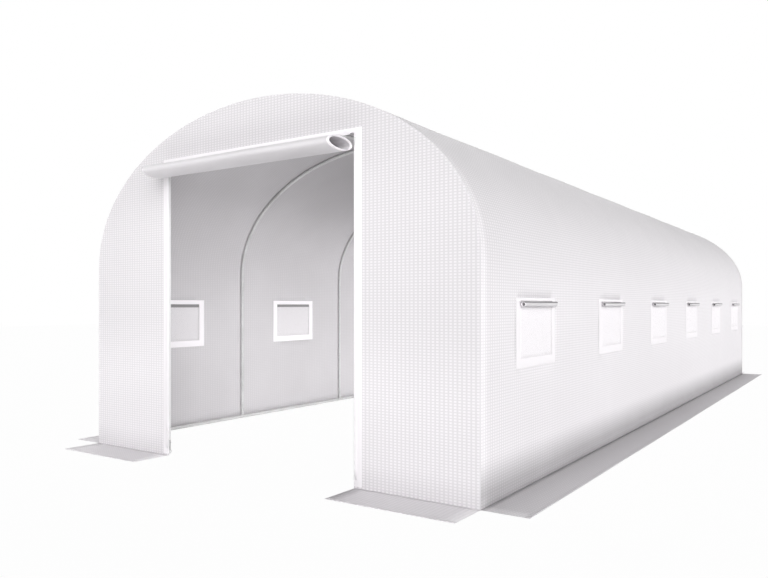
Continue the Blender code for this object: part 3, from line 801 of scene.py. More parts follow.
def end_line(steps, inset):
    """The same with the walls' feet: the outline (x, z) of an end, from the right to the left."""
    feet = Vector((HALF_WIDTH - inset, 0.0)), Vector((inset - HALF_WIDTH, 0.0))
    return [feet[0], *arch_line(steps, inset), feet[1]]


def section_spot(run):
    """The point and normal at this length from the right wall's foot over the arch to the left."""
    wall, arch = sizes().wall_height, arch_length()
    if run <= wall:
        return Vector((HALF_WIDTH, run)), Vector((1.0, 0.0))
    if run >= wall + arch:
        return Vector((-HALF_WIDTH, 2 * wall + arch - run)), Vector((-1.0, 0.0))
    return arch_spot(run - wall, 0.0)


def window_opening(lap):
    """Half a window's opening across, its sill and its top, made this much larger."""
    size = sizes()
    half = (WINDOW_HIGH.y - WINDOW_LOW.y) / 2 - size.window_border + lap
    return half, WINDOW_LOW.z + size.window_border - lap, WINDOW_HIGH.z - size.window_lintel + lap


def stitching(runs, normal):
    """Rows of stitches along straight runs, on a surface with this normal."""
    bpy.ops.mesh.primitive_uv_sphere_add(segments=4, ring_count=2, radius=0.5)
    unit = bpy.context.object
    size = sizes()
    width, height = 0.0011, 0.0007
    normal = Vector(normal)
    places = []
    for start, end in runs:
        start, end = Vector(start), Vector(end)
        along = (end - start).normalized()
        across = normal.cross(along)
        turn = Matrix((along * size.stitch, across * width, normal * height)).transposed().to_4x4()
        count = max(1, round((end - start).length / size.stitch_pitch))
        for step in range(count):
            middle = start.lerp(end, (step + 0.5) / count)
            places.append(Matrix.Translation(middle) @ turn)
    return repeated("stitches", unit, places, "sewing_thread")


def window_runs(x, y, side_inset, top_inset):
    """The four straight runs round a window's frame, this far inside of its edges."""
    half = (WINDOW_HIGH.y - WINDOW_LOW.y) / 2 - side_inset
    low, high = WINDOW_LOW.z + side_inset, WINDOW_HIGH.z - top_inset
    corners = ((-half, low), (half, low), (half, high), (-half, high), (-half, low))
    return pairs([Vector((x, y + a, z)) for a, z in corners])


def block(size, place=(0, 0, 0)):
    """A box of this size round this place."""
    bpy.ops.mesh.primitive_cube_add(size=1, location=place)
    bpy.context.object.scale = size
    return placed(bpy.context.object)


def cylinder(sides, radius, depth, place, turn=(0, 0, 0), ends="NGON"):
    """A cylinder round this place, open if its ends are NOTHING."""
    settings = {"vertices": sides, "radius": radius, "depth": depth, "end_fill_type": ends}
    bpy.ops.mesh.primitive_cylinder_add(**settings, location=place, rotation=turn)
    return bpy.context.object


def torus(radius, thickness, around, across, place, turn=(0, 0, 0)):
    """A ring round this place, with this many faces around it and across its thickness."""
    settings = {"major_segments": around, "minor_segments": across, "location": place}
    settings |= {"major_radius": radius, "minor_radius": thickness, "rotation": turn}
    bpy.ops.mesh.primitive_torus_add(**settings)
    return bpy.context.object


def drilled(obj, sides, radius, place, turn=(0, 0, 0)):
    """Cuts a round hole through the piece."""
    drill = cylinder(sides, radius, depth=0.02, place=place, turn=turn)
    modify(obj, "BOOLEAN", object=drill, operation="DIFFERENCE")
    removed(drill)
    bpy.context.view_layer.objects.active = obj
    return obj


def hex_bolts(radius, height, places):
    """Bolts' heads on their washers, pointing up from the places that they sit on."""
    thickness = 0.0012
    washer = placed(cylinder(20, radius * 1.45, thickness, (0, 0, thickness / 2)))
    head = placed(cylinder(6, radius, height, (0, 0, thickness + height / 2)))
    with editing(head):
        choose(head, lambda face: face.normal.z > 0.9)
        for inset, rise in ((0.12, 0.14), (0.25, 0.05)):
            bpy.ops.mesh.inset(thickness=radius * inset)
            bpy.ops.transform.translate(value=(0, 0, height * rise))
    unit = joined([softened(piece, width=0.0003, segments=1, angle=50) for piece in (washer, head)])
    return repeated("bolts", unit, places, "zinc_coat")


def pointing(direction):
    """The turn that makes what points up point in this direction."""
    return Vector(direction).to_track_quat("Z", "Y")


def facing(direction, place):
    """The place of a part that points up when made, turned to point in this direction."""
    return Matrix.Translation(Vector(place)) @ pointing(direction).to_matrix().to_4x4()


def straight_tube(start, end, radius=None, wall=None, finish="zinc_coat"):
    """An open tube with a real wall and rounded lips."""
    size = sizes()
    radius, wall = radius or size.tube_radius, wall or size.tube_wall
    start, end = Vector(start), Vector(end)
    run, turn = end - start, pointing(end - start).to_euler()
    tube = cylinder(size.tube_sides, radius, run.length, (start + end) / 2, turn, "NOTHING")
    thickened(placed(tube), wall, use_even_offset=True)
    return dress(softened(tube, width=wall * 0.3), finish)


def bent_tube(points, radii, finish):
    """A tube of changing radius through these points, open at its ends."""
    size = sizes()
    settings = {"dimensions": "3D", "bevel_depth": 1.0, "bevel_resolution": size.tube_sides // 4 - 1}
    obj = drawn(points, radii, False, settings)
    thickened(obj, size.tube_wall, use_even_offset=True)
    bpy.ops.object.shade_smooth_by_angle(angle=math.radians(35))
    return dress(obj, finish)


def weld_bead(level, radius):
    """A rippled bead of weld round an upright tube at the origin."""
    bead = placed(torus(radius, 0.0016, 48, 6, (0, 0, level)))
    depth, ripples = 0.0004, 24
    with editing(bead, "VERT"):
        ripple = bmesh.from_edit_mesh(bead.data)
        for vertex in ripple.verts:
            around = math.atan2(vertex.co.y, vertex.co.x)
            vertex.co.z += depth * math.sin(around * ripples) - depth
        bmesh.update_edit_mesh(bead.data)
    bpy.ops.object.shade_smooth()
    return dress(bead, "zinc_coat")


class TUNNEL_OT_cover(bpy.types.Operator):
    """One woven sheet over both walls and the arch, drawn in a little between the hoops"""

    bl_idname = "garden_tunnel.cover"
    bl_label = "Main Cover"

    def execute(self, context):
        size = sizes()
        wall = size.wall_height
        whole = 2 * wall + arch_length()
        half_y, sill, top = window_opening(WINDOW_LAP)
        limit = -FRONT_Y - size.cloth
        cuts = [y + side * half_y for y in WINDOW_Y for side in (-1, 1)]
        columns = filled([-limit, limit] + cuts + HOOP_Y[1:-1], gap=0.085)
        low = filled([0.0, wall, sill, top], gap=0.11)
        arch = filled([wall, whole - wall], gap=arch_length() / ARCH_ROWS)
        rows = low[:-1] + arch + [whole - z for z in reversed(low[:-1])]

        def sag(y):
            """From 0 at the hoops to 1 midway between two of them."""
            for start, end in pairs(HOOP_Y):
                if start <= y <= end:
                    return (1 - math.cos(2 * math.pi * (y - start) / (end - start))) / 2
            return 0.0

        def place(i, j):
            y, run = columns[i], rows[j]
            (x, z), normal = section_spot(run)
            pull = size.sag * sag(y) * eased(z, low=wall - 0.10, high=wall + 0.35)
            return (x - normal.x * pull, y, z - normal.y * pull)

        def hole(y, run):
            z = run if run < whole / 2 else whole - run
            return sill < z < top and any(abs(y - spot) < half_y for spot in WINDOW_Y)

        sheet = cloth_grid("cover", columns, rows, place, ("woven_film", "film_lining"), hole)
        thickened(sheet, size.cloth, material_offset=1)
        handed_over(sheet, "cover_sheet", "woven_cover", "main_cover")
        area = whole * 2 * limit - 2 * WINDOWS_PER_SIDE * 2 * half_y * (top - sill)
        2 * limit
        return {"FINISHED"}


class TUNNEL_OT_end_panels(bpy.types.Operator):
    """The front panel with its doorway, and the closed back panel, each with its edge seam"""

    bl_idname = "garden_tunnel.end_panels"
    bl_label = "End Panels"

    def execute(self, context):
        size = sizes()
        whole = 2 * HALF_WIDTH * size.wall_height + math.pi / 2 * HALF_WIDTH * arch_rise()
        x, z = BORDER_HIGH.x - size.door_jamb, BORDER_HIGH.z - size.door_lintel
        doorway = [(-x, 0.0), (-x, z), (x, z), (x, 0.0)]
        self.panel("front_panel", -1, doorway, whole - 2 * x * z, "hoop_tube_1")
        self.panel("back_panel", 1, [], whole, f"hoop_tube_{HOOPS}")
        return {"FINISHED"}

    def panel(self, node, side, doorway, area, hoop):
        y = -side * FRONT_Y
        outline = [tuple(point) for point in end_line(steps=96, inset=0.0)] + doorway
        panel = dress(cut_flat(outline, y, side), "panel_film", "film_lining")
        thickened(panel, sizes().cloth, material_offset=1)
        seam = [(x, y + side * SHEET_GAP, z) for x, z in end_line(ARCH_ROWS, inset=0.009)]
        piece = joined([panel, stitching(pairs(seam), (0, side, 0))])
        handed_over(piece, f"{node}_sheet", "woven_cover", node)


class TUNNEL_OT_skirts(bpy.types.Operator):
    """The ground skirts, lying nearly flat, with a sewn hem along their outer edge"""

    bl_idname = "garden_tunnel.skirts"
    bl_label = "Ground Skirts"

    def execute(self, context):
        for index, word in enumerate(("left", "right", "front_left", "front_right", "back")):
            self.lay(word, index)
        return {"FINISHED"}

    def lay(self, word, index):
        node = f"skirt_{word}"
        low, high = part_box(node)
        along = 1 if word in ("left", "right") else 0
        across = 1 - along
        inner, outer = sorted((low[across], high[across]), key=abs)
        depth = abs(outer - inner)
        hem_width = 0.022
        hem = depth - hem_width
        thickness = 0.0012
        # the right skirt's film carries painted shade next to the wall and towards the back
        film = "worn_skirt_film" if word == "right" else "skirt_film"
        columns = filled([low[along], high[along]], gap=0.09)

        def spot(a, b, lift):
            """The place at a along the seam and b from it, this far above the wavy cloth."""
            wave = 2 + (math.sin(a * 2.3 + index) + math.sin(a * 5.1 + 2 * index))
            point = [0.0, 0.0, SHEET_GAP + 0.0005 * wave * (b / depth) ** 1.5 + lift]
            point[along] = a
            point[across] = inner + (outer - inner) * b / depth
            return tuple(point)

        def layer(name, rows, lift):
            made = cloth_grid(name, columns, rows, lambda i, j: spot(columns[i], rows[j], lift), [film])
            return thickened(faced(made, (0, 0, 1)), thickness, 1.0)

        base = layer("skirt_cloth", filled([0.0, hem, depth], gap=0.035), 0.0)
        fold = folded(layer("hem", [hem, depth - hem_width / 2, depth - 0.0004], thickness))
        line = [spot(a, hem + 0.004, 2 * thickness) for a in columns]
        piece = joined([base, fold, stitching(pairs(line), (0, 0, 1))])
        handed_over(piece, f"ground_{node}", "ground_skirt", node, body=f"{node}_body")


class TUNNEL_OT_doorway(bpy.types.Operator):
    """The white border round the doorway with its stitching, and the two halves of the zips"""

    bl_idname = "garden_tunnel.doorway"
    bl_label = "Doorway"

    def execute(self, context):
        size = sizes()
        outer, top, foot, face = BORDER_HIGH.x, BORDER_HIGH.z, BORDER_LOW.z, BORDER_LOW.y
        inner, lintel = outer - size.door_jamb, top - size.door_lintel
        outline = [(-outer, foot), (-outer, top), (outer, top), (outer, foot)]
        outline += [(inner, foot), (inner, lintel), (-inner, lintel), (-inner, foot)]
        band = dress(cut_flat(outline, face, -1), "webbing_tape")
        folded(thickened(band, size.webbing))
        upright = (outer - SEAM_EDGE, inner + 0.030)
        rows = []
        for x in [side * x for side in (-1, 1) for x in upright]:
            rows.append(((x, face, foot + 0.01), (x, face, top - SEAM_EDGE)))
        for z in (top - SEAM_EDGE, lintel + SEAM_EDGE):
            rows.append(((-outer + 0.006, face, z), (outer - 0.006, face, z)))
        border = joined([band, stitching(rows, (0, -1, 0))])
        handed_over(border, "doorway_border", "white_webbing", "door_border")
        for side, word in SIDES:
            self.zip_half(side, word)
        return {"FINISHED"}

    def zip_half(self, side, word):
        """A woven tape with a row of teeth along the doorway's edge."""
        low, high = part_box(f"zip_tape_{word}")
        columns = filled([low.x, high.x], gap=0.005)
        rows = filled([low.z, high.z], gap=0.060)
        face = low.y

        def place(i, j):
            pucker = 0.00018 * math.sin(rows[j] * 70 + i * 1.3)
            return (columns[i], face + SHEET_GAP + pucker, rows[j])

        tape = cloth_grid("tape", columns, rows, place, ["webbing_tape"])
        thickened(faced(tape, (0, -1, 0)), thickness=0.0007)
        tooth = block((0.0040, 0.0016, 0.0022))
        with editing(tooth):
            choose(tooth, lambda item: item.normal.x * side < -0.9)
            bpy.ops.transform.resize(value=(1, 0.7, 0.55))
        edge = high.x if side < 0 else low.x
        pitch, margin = sizes().tooth_pitch, 0.005
        count = int((high.z - low.z - 2 * margin) / pitch)
        heights = [low.z + margin + step * pitch for step in range(count)]
        spots = [Matrix.Translation((edge + side * 0.0016, face - 0.0003, z)) for z in heights]
        teeth = repeated("teeth", tooth, spots, "nylon_zip")
        teeth.data.shade_flat()
        stop = block((0.006, 0.0022, 0.006), (edge + side * 0.003, face - 0.0006, low.z + 0.004))
        dress(softened(stop, width=0.0006), "nylon_zip")
        x = (low.x + high.x) / 2 + side * 0.005
        seam = stitching([((x, face, low.z + 0.004), (x, face, high.z - 0.004))], (0, -1, 0))
        piece = joined([tape, teeth, stop, seam])
        handed_over(piece, f"zip_half_{word}", "white_webbing", f"zip_tape_{word}")


class TUNNEL_OT_zip_sliders(bpy.types.Operator):
    """The zips' sliders: a shouldered body, its bridge and a pull with a hole"""

    bl_idname = "garden_tunnel.zip_sliders"
    bl_label = "Zip Sliders"

    def execute(self, context):
        for _, word in SIDES:
            self.slider(word)
        return {"FINISHED"}

    def slider(self, word):
        node = f"zip_slider_{word}"
        low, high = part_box(node)
        x, front, depth = (low.x + high.x) / 2, low.y, high.y - low.y
        height = 0.020
        body_z = high.z - height / 2
        body = block((0.012, depth, height), (x, front + depth / 2, body_z))
        with editing(body):
            divided()
            choose(body, lambda item: item.normal.z < -0.9)
            bpy.ops.transform.resize(value=(0.62, 1, 1))
            choose(body, lambda item: item.normal.y < -0.9)
            bpy.ops.mesh.inset(thickness=0.0016)
            bpy.ops.transform.translate(value=(0, 0.0009, 0))
        softened(body, width=0.0007, segments=3, angle=30)
        spot = (x, front + 0.0014, body_z - 0.001)
        bridge = torus(0.0040, 0.0008, 28, 10, spot, (0, math.pi / 2, 0))
        bridge.scale = (1.0, 0.32, 1.0)
        placed(bridge)
        bpy.ops.object.shade_smooth()
        overlap = 0.006
        reach = body_z - height / 2 + overlap - low.z
        pull = block((0.006, 0.0016, reach), (x, front + 0.0018, low.z + reach / 2))
        with editing(pull):
            divided()
            choose(pull, lambda item: item.normal.z > 0.9)
            bpy.ops.transform.resize(value=(0.6, 1, 1))
        softened(pull, width=0.0006)
        hole = (x, front, low.z + 0.005)
        drilled(pull, sides=20, radius=0.0013, place=hole, turn=(math.pi / 2, 0, 0))
        slider = joined([dress(piece, "nylon_zip") for piece in (body, bridge, pull)])
        handed_over(slider, f"zip_runner_{word}", "zip_slider", node, body=f"{node}_body")


def spiral(size, pitch, turns, steps, thickness):
    """The middle line of a sheet wound inwards from the top of an oval."""
    points = []
    for step in range(round(turns * steps) + 1):
        turned = step / steps
        shrink = pitch * turned + thickness / 2
        angle = math.pi / 2 - 2 * math.pi * turned
        across = (size[0] / 2 - shrink) * math.cos(angle)
        points.append(Vector((across, (size[1] / 2 - shrink) * math.sin(angle))))
    return points


def smooth_line(corners, steps):
    """A smooth line from the first to the last of four corners, drawn towards the other two."""
    a, b, c, d = corners
    line = []
    for step in range(steps + 1):
        share = step / steps
        rest = 1 - share
        line.append(a * rest**3 + 3 * b * rest**2 * share + 3 * c * rest * share**2 + d * share**3)
    return line


class TUNNEL_OT_door_flap(bpy.types.Operator):
    """The door's sheet, wound up as a hollow oval roll, and the strip that it hangs from"""

    bl_idname = "garden_tunnel.door_flap"
    bl_label = "Door Flap"
    thickness = 0.0012

    def execute(self, context):
        half, edge = ROLL_HIGH.x, sizes().binding
        columns = filled([-half, edge - half, half - edge, half], gap=0.06)
        middle_y, middle_z = (ROLL_LOW.y + ROLL_HIGH.y) / 2, (ROLL_LOW.z + ROLL_HIGH.z) / 2
        oval = (ROLL_HIGH.y - ROLL_LOW.y, ROLL_HIGH.z - ROLL_LOW.z)
        mean_radius = 0.07
        wound = spiral(oval, pitch=0.0024, turns=3.5, steps=56, thickness=self.thickness)
        rows = lengths(wound)

        def place(i, j):
            x, (u, v) = columns[i], wound[j]
            around = math.atan2(v, u)
            loose = 0.0011 * math.sin(3.1 * x + 2 * around) + 0.0008 * math.sin(7.7 * x - around + 1.0)
            grown = 1 + loose / mean_radius
            return (x, middle_y - u * grown, middle_z + v * grown)

        ends = (0, len(columns) - 2)
        finishes = ("flap_film", "webbing_tape")
        roll = cloth_grid("roll", columns, rows, place, finishes, number=lambda i, j: int(i in ends))
        thickened(roll, self.thickness, offset=0.0)
        handed_over(roll, "door_flap_rolled", "rolled_flap", "door_flap_roll", body="door_flap")
        self.strip(half, middle_y, columns, ends)
        return {"FINISHED"}

    def strip(self, half, middle_y, columns, ends):
        """From the seam over the doorway to the crown of the roll."""
        sewn = Vector((HEADER_HIGH.y - self.thickness / 2, HEADER_HIGH.z))
        crown = Vector((HEADER_LOW.y, ROLL_HIGH.z + LAYER_GAP + self.thickness / 2))
        lintel = BORDER_HIGH.z - sizes().door_lintel
        before = Vector((middle_y + (ROLL_HIGH.y - ROLL_LOW.y) / 4, crown.y))
        steps = 30
        line = smooth_line((sewn, Vector((sewn.x, lintel)), before, crown), steps)
        taped = sum(spot.y > crown.y + 0.005 for spot in line)
        rows = lengths(line)

        def place(i, j):
            slack = 0.0006 * math.sin(columns[i] * 9.0) * math.sin(math.pi * j / steps)
            return (columns[i], line[j].x, line[j].y + slack)

        def number(i, j):
            return int(i in ends or j < taped)

        finishes = ("hung_door_film", "webbing_tape")
        strip = cloth_grid("strip", columns, rows, place, finishes, number=number)
        thickened(faced(strip, (0, -1, 0), len(rows) // 2), self.thickness, offset=0.0)
        y, z = sewn.x - self.thickness / 2, sewn.y - SEAM_EDGE
        seam = stitching([((-half + 0.004, y, z), (half - 0.004, y, z))], (0, -1, 0))
        piece = joined([strip, seam])
        handed_over(piece, "door_flap_strip", "rolled_flap", "door_flap_header", body=None)
        start, end = (0, *line[taped]), (0, crown.x + 0.012, crown.y)
        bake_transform(piece)
        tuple(start)
        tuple(end)


class TUNNEL_OT_windows(bpy.types.Operator):
    """Twelve windows: netting between an outer and an inner webbing frame"""

    bl_idname = "garden_tunnel.windows"
    bl_label = "Windows"

    def execute(self, context):
        frame_unit, netting_unit, flat = self.unit()
        for side, word in SIDES:
            for index, y in enumerate(WINDOW_Y):
                shift = Matrix.Translation((0, y - WINDOW_Y[0], 0)) @ Matrix.Diagonal((side, 1, 1, 1))
                spot = f"{word}_{index + 1}"
                node = f"window_{spot}"
                border = copied(frame_unit, shift)
                handed_over(border, f"window_frame_{spot}", "white_webbing")
                pane = copied(netting_unit, shift)
                handed_over(pane, f"window_netting_{spot}", "window_mesh", node)
                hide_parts(node)
        removed(frame_unit, netting_unit)
        return {"FINISHED"}

    def unit(self):
        """The first window of the right wall: its frame, its netting and the netting's size."""
        size = sizes()
        y = WINDOW_Y[0]
        outside, inside = WINDOW_HIGH.x, WINDOW_LOW.x
        parts = []
        for x, side in ((outside, 1), (inside, -1)):
            parts.append(self.webbing(x, y, side))
            runs = window_runs(x, y, SEAM_EDGE, SEAM_EDGE)
            runs += window_runs(x, y, size.window_border - SEAM_EDGE, size.window_lintel - SEAM_EDGE)
            parts.append(stitching(runs, (side, 0, 0)))
        # the dark tape inside the window's top, a painted shadow
        parts.append(self.seam_tape(y, inside + LAYER_GAP))
        netting = self.netting(y, outside - size.webbing - LAYER_GAP)
        half, sill, top = window_opening(WINDOW_LAP)
        return joined(parts), netting, (2 * half, top - sill)

    def webbing(self, x, y, side):
        """A frame of webbing with mitred corners, narrower at its top, on one side of the wall."""
        size = sizes()
        middle = (x, y, WINDOW_Z)
        turn = (0, side * math.pi / 2, 0)
        bpy.ops.mesh.primitive_plane_add(size=1, location=middle, rotation=turn)
        ring = placed(bpy.context.object)
        scale = (1, WINDOW_HIGH.y - WINDOW_LOW.y, WINDOW_HIGH.z - WINDOW_LOW.z)
        level = WINDOW_HIGH.z - size.window_border
        with editing(ring, "VERT"):
            bpy.ops.mesh.select_all(action="SELECT")
            bpy.ops.transform.resize(value=scale, center_override=middle)
            bpy.ops.mesh.inset(thickness=size.window_border)
            bpy.ops.mesh.delete(type="FACE")
            choose(ring, lambda vertex: abs(vertex.co.z - level) < 1e-5, "verts")
            bpy.ops.transform.translate(value=(0, 0, size.window_border - size.window_lintel))
            divided(3)
        folded(thickened(ring, size.webbing))
        return dress(flat_map(ring, 1, 2), "webbing_tape")

    def netting(self, y, x):
        half, sill, top = window_opening(WINDOW_LAP)
        columns, rows = filled([y - half, y + half], gap=0.035), filled([sill, top], gap=0.035)

        def place(i, j):
            a = (columns[i] - y) / half
            b = 2 * (rows[j] - sill) / (top - sill) - 1
            slack = 0.0010 * (1 - a * a) * (1 - b * b) * (1 + 0.3 * math.sin(9 * a + 5 * b))
            return (x + SHEET_GAP + slack, columns[i], rows[j])

        pane = cloth_grid("netting", columns, rows, place, ("window_netting", "netting_back"))
        return thickened(faced(pane, (1, 0, 0)), 0.0005, offset=0.0, material_offset=1)

    def seam_tape(self, y, x):
        """The dark tape over the flap's seam, inside along the window's top: a painted shadow of the
        roll.
        """
        half, _, top = window_opening(lap=-0.003)
        width = 0.023
        columns, rows = filled([y - half, y + half], gap=0.03), filled([top - width, top], gap=0.008)

        def place(i, j):
            return (x + 0.0003 * math.cos(i * 1.9) * math.sin(j), columns[i], rows[j])

        tape = cloth_grid("seam_tape", columns, rows, place, ["seam_tape"])
        thickened(faced(tape, (-1, 0, 0)), thickness=0.0006)
        return softened(tape, width=0.0002, segments=1, angle=50)


class TUNNEL_OT_window_flaps(bpy.types.Operator):
    """The windows' rolled flaps, each with its own looseness, and the strips they hang from"""

    bl_idname = "garden_tunnel.window_flaps"
    bl_label = "Window Flaps"
    thickness, radius = 0.0008, 0.0138

    def execute(self, context):
        for side, word in SIDES:
            for index, y in enumerate(WINDOW_Y):
                self.flap(side, word, index + 1, y)
        return {"FINISHED"}

    def flap(self, side, word, number, middle):
        radius = self.radius
        slimmer = 0.008
        half = (WINDOW_ROLL_HIGH.y - WINDOW_ROLL_LOW.y) / 2 - slimmer
        axis_x = WINDOW_ROLL_HIGH.x - slimmer - radius
        axis_z = WINDOW_ROLL_LOW.z + slimmer / 2 + radius
        oval = (2 * radius, 2 * radius)
        wound = spiral(oval, pitch=0.0020, turns=2.25, steps=28, thickness=self.thickness)
        edge = 0.009
        columns = filled([-half, edge - half, half - edge, half], gap=0.03)
        rows = lengths(wound)
        phase = number * 1.7 + side

        def place(i, j):
            y, (u, v) = columns[i], wound[j]
            around = math.atan2(v, u)
            loose = 0.0005 * math.sin(11 * y + around * 2 + phase)
            droop = 0.0008 * math.cos(math.pi * y / half / 2 + phase * 0.1)
            grown = 1 + loose / radius
            return (side * (axis_x + u * grown), middle + y, axis_z + v * grown - droop)

        ends = (0, len(columns) - 2)

        def finish_number(i, j):
            """Binding at both ends, and the dark tape along the top of the outer turn, a painted shadow.
            """
            return 2 if j < 5 else int(i in ends)

        finishes = ("flap_film", "webbing_tape", "seam_tape")
        roll = cloth_grid("flap_roll", columns, rows, place, finishes, number=finish_number)
        if side < 0:
            roll.data.flip_normals()
        thickened(roll, self.thickness, offset=0.0)
        node = f"window_roll_{word}_{number}"
        body = f"{node}_body"
        strip_name = f"window_flap_strip_{word}_{number}"
        handed_over(roll, f"window_flap_{word}_{number}", "rolled_flap", node, body=body)

        wall = WINDOW_HIGH.x + LAYER_GAP + self.thickness / 2
        sewn = Vector((wall, axis_z + 0.018))
        crown = Vector((axis_x, axis_z + radius - self.thickness / 2 - 0.0006))
        before = Vector(((wall + crown.x) / 2, crown.y))
        line = smooth_line((sewn, Vector((wall, crown.y)), before, crown), steps=24)
        rows = lengths(line)
        # the strip's upper rows take the dark tape, a painted shadow above the roll
        taped = 8

        def strip_place(i, j):
            return (side * line[j].x, middle + columns[i], line[j].y)

        # painted shadow: the dark tape on the strip's upper rows
        def strip_number(i, j):
            return 1 if i in ends else 2 if j < taped else 0

        finishes = ("hung_window_film", "webbing_tape", "seam_tape")
        strip = cloth_grid("flap_strip", columns, rows, strip_place, finishes, number=strip_number)
        thickened(faced(strip, (side, 0, 0)), self.thickness, offset=0.0)
        handed_over(strip, strip_name, "rolled_flap", body=None)
        start = (side * line[taped].x, middle, line[taped].y)
        end = (side * (crown.x - 0.002), middle, crown.y)
        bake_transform(strip)


class TUNNEL_OT_hoops(bpy.types.Operator):
    """Seven bent tubes with drawn-in feet, and a joint groove at each springing and the crown"""

    bl_idname = "garden_tunnel.hoops"
    bl_label = "Hoops"

    def execute(self, context):
        size = sizes()
        radius = size.tube_radius
        inset = FRAME_INSET + radius
        side_x = HALF_WIDTH - inset
        groove, groove_side = 0.0008, 0.003
        shoulder = SOCKET_TOP + FRAME_GAP
        leg = [(FOOT_Z, radius - SWAGE), (shoulder, radius - SWAGE), (shoulder + SWAGE, radius)]
        joint = size.wall_height - 0.12
        leg += [(joint - groove_side, radius), (joint, radius - groove), (joint + groove_side, radius)]
        route = [((side_x, 0.0, z), r) for z, r in leg]
        steps = 80
        for step, (x, z) in enumerate(arch_line(steps, inset)):
            route.append(((x, 0.0, z), radius - (groove if step == steps // 2 else 0.0)))
        route += [((-side_x, 0.0, z), r) for z, r in reversed(leg)]
        tube = bent_tube(*zip(*route), "zinc_coat")
        spots = [(side, z) for z in (BOLT_Z, joint + 0.03) for side in (-1, 1)]
        bolts = [facing((-side, 0, 0), (side * (side_x - radius), 0, z)) for side, z in spots]
        unit = joined([tube, hex_bolts(radius=0.0042, height=0.0028, places=bolts)])
        for index, y in enumerate(HOOP_Y):
            made = copied(unit, Matrix.Translation((0, y, 0)))
            handed_over(made, f"hoop_tube_{index + 1}", "galvanised_steel", f"hoop_{index + 1}")
        removed(unit)
        return {"FINISHED"}


class TUNNEL_OT_ridge(bpy.types.Operator):
    """The ridge tube, with a bolted clip under each hoop"""

    bl_idname = "garden_tunnel.ridge"
    bl_label = "Ridge Tube"
    cheek_thickness = 0.0028

    def execute(self, context):
        radius = sizes().tube_radius
        centre = PURLIN_LOW.z + radius
        parts = [straight_tube((0, PURLIN_LOW.y, centre), (0, PURLIN_HIGH.y, centre))]
        strap, cheek = self.strap(radius, centre), self.cheek(centre + radius * 0.9)
        bolts = []
        for index, y in enumerate(HOOP_Y):
            sides = {0: (1,), HOOPS - 1: (-1,)}.get(index, (-1, 1))
            if len(sides) == 2:
                parts.append(copied(strap, Matrix.Translation((0, y, 0))))
            for side in sides:
                shift = side * (radius + FRAME_GAP + self.cheek_thickness / 2)
                parts.append(copied(cheek, Matrix.Translation((0, y + shift, 0))))
                face = y + side * (radius + FRAME_GAP + self.cheek_thickness)
                bolts.append(facing((0, side, 0), (0, face, centre + radius + 0.004)))
        removed(strap, cheek)
        parts.append(hex_bolts(radius=0.0034, height=0.0024, places=bolts))
        handed_over(joined(parts), "ridge_tube", "galvanised_steel", "ridge_purlin")
        return {"FINISHED"}

    def strap(self, radius, centre):
        """Half round the tube under a hoop."""
        outer, width = radius + 0.0018, 2 * (radius + 0.003)
        turn = (math.pi / 2, 0, 0)
        strap = placed(cylinder(32, outer, width, (0, 0, centre), turn, ends="NOTHING"))
        with editing(strap):
            choose(strap, lambda face: face.calc_center_median().z > centre + outer * 0.55)
            bpy.ops.mesh.delete(type="FACE")
        thickened(strap, thickness=0.0016)
        return dress(softened(strap, width=0.0004), "zinc_coat")

    def cheek(self, level):
        """An upright plate beside a hoop, with its upper corners rounded."""
        cheek = block((0.024, self.cheek_thickness, 0.022), (0, 0, level + 0.004))

        def upper_corner(edge):
            start, end = (vertex.co for vertex in edge.verts)
            return min(start.z, end.z) > level + 0.010 and abs(start.x - end.x) < 1e-6

        with editing(cheek, "EDGE"):
            choose(cheek, upper_corner, "edges")
            bpy.ops.mesh.bevel(offset=0.006, segments=4)
        return dress(softened(cheek, width=0.0004), "zinc_coat")


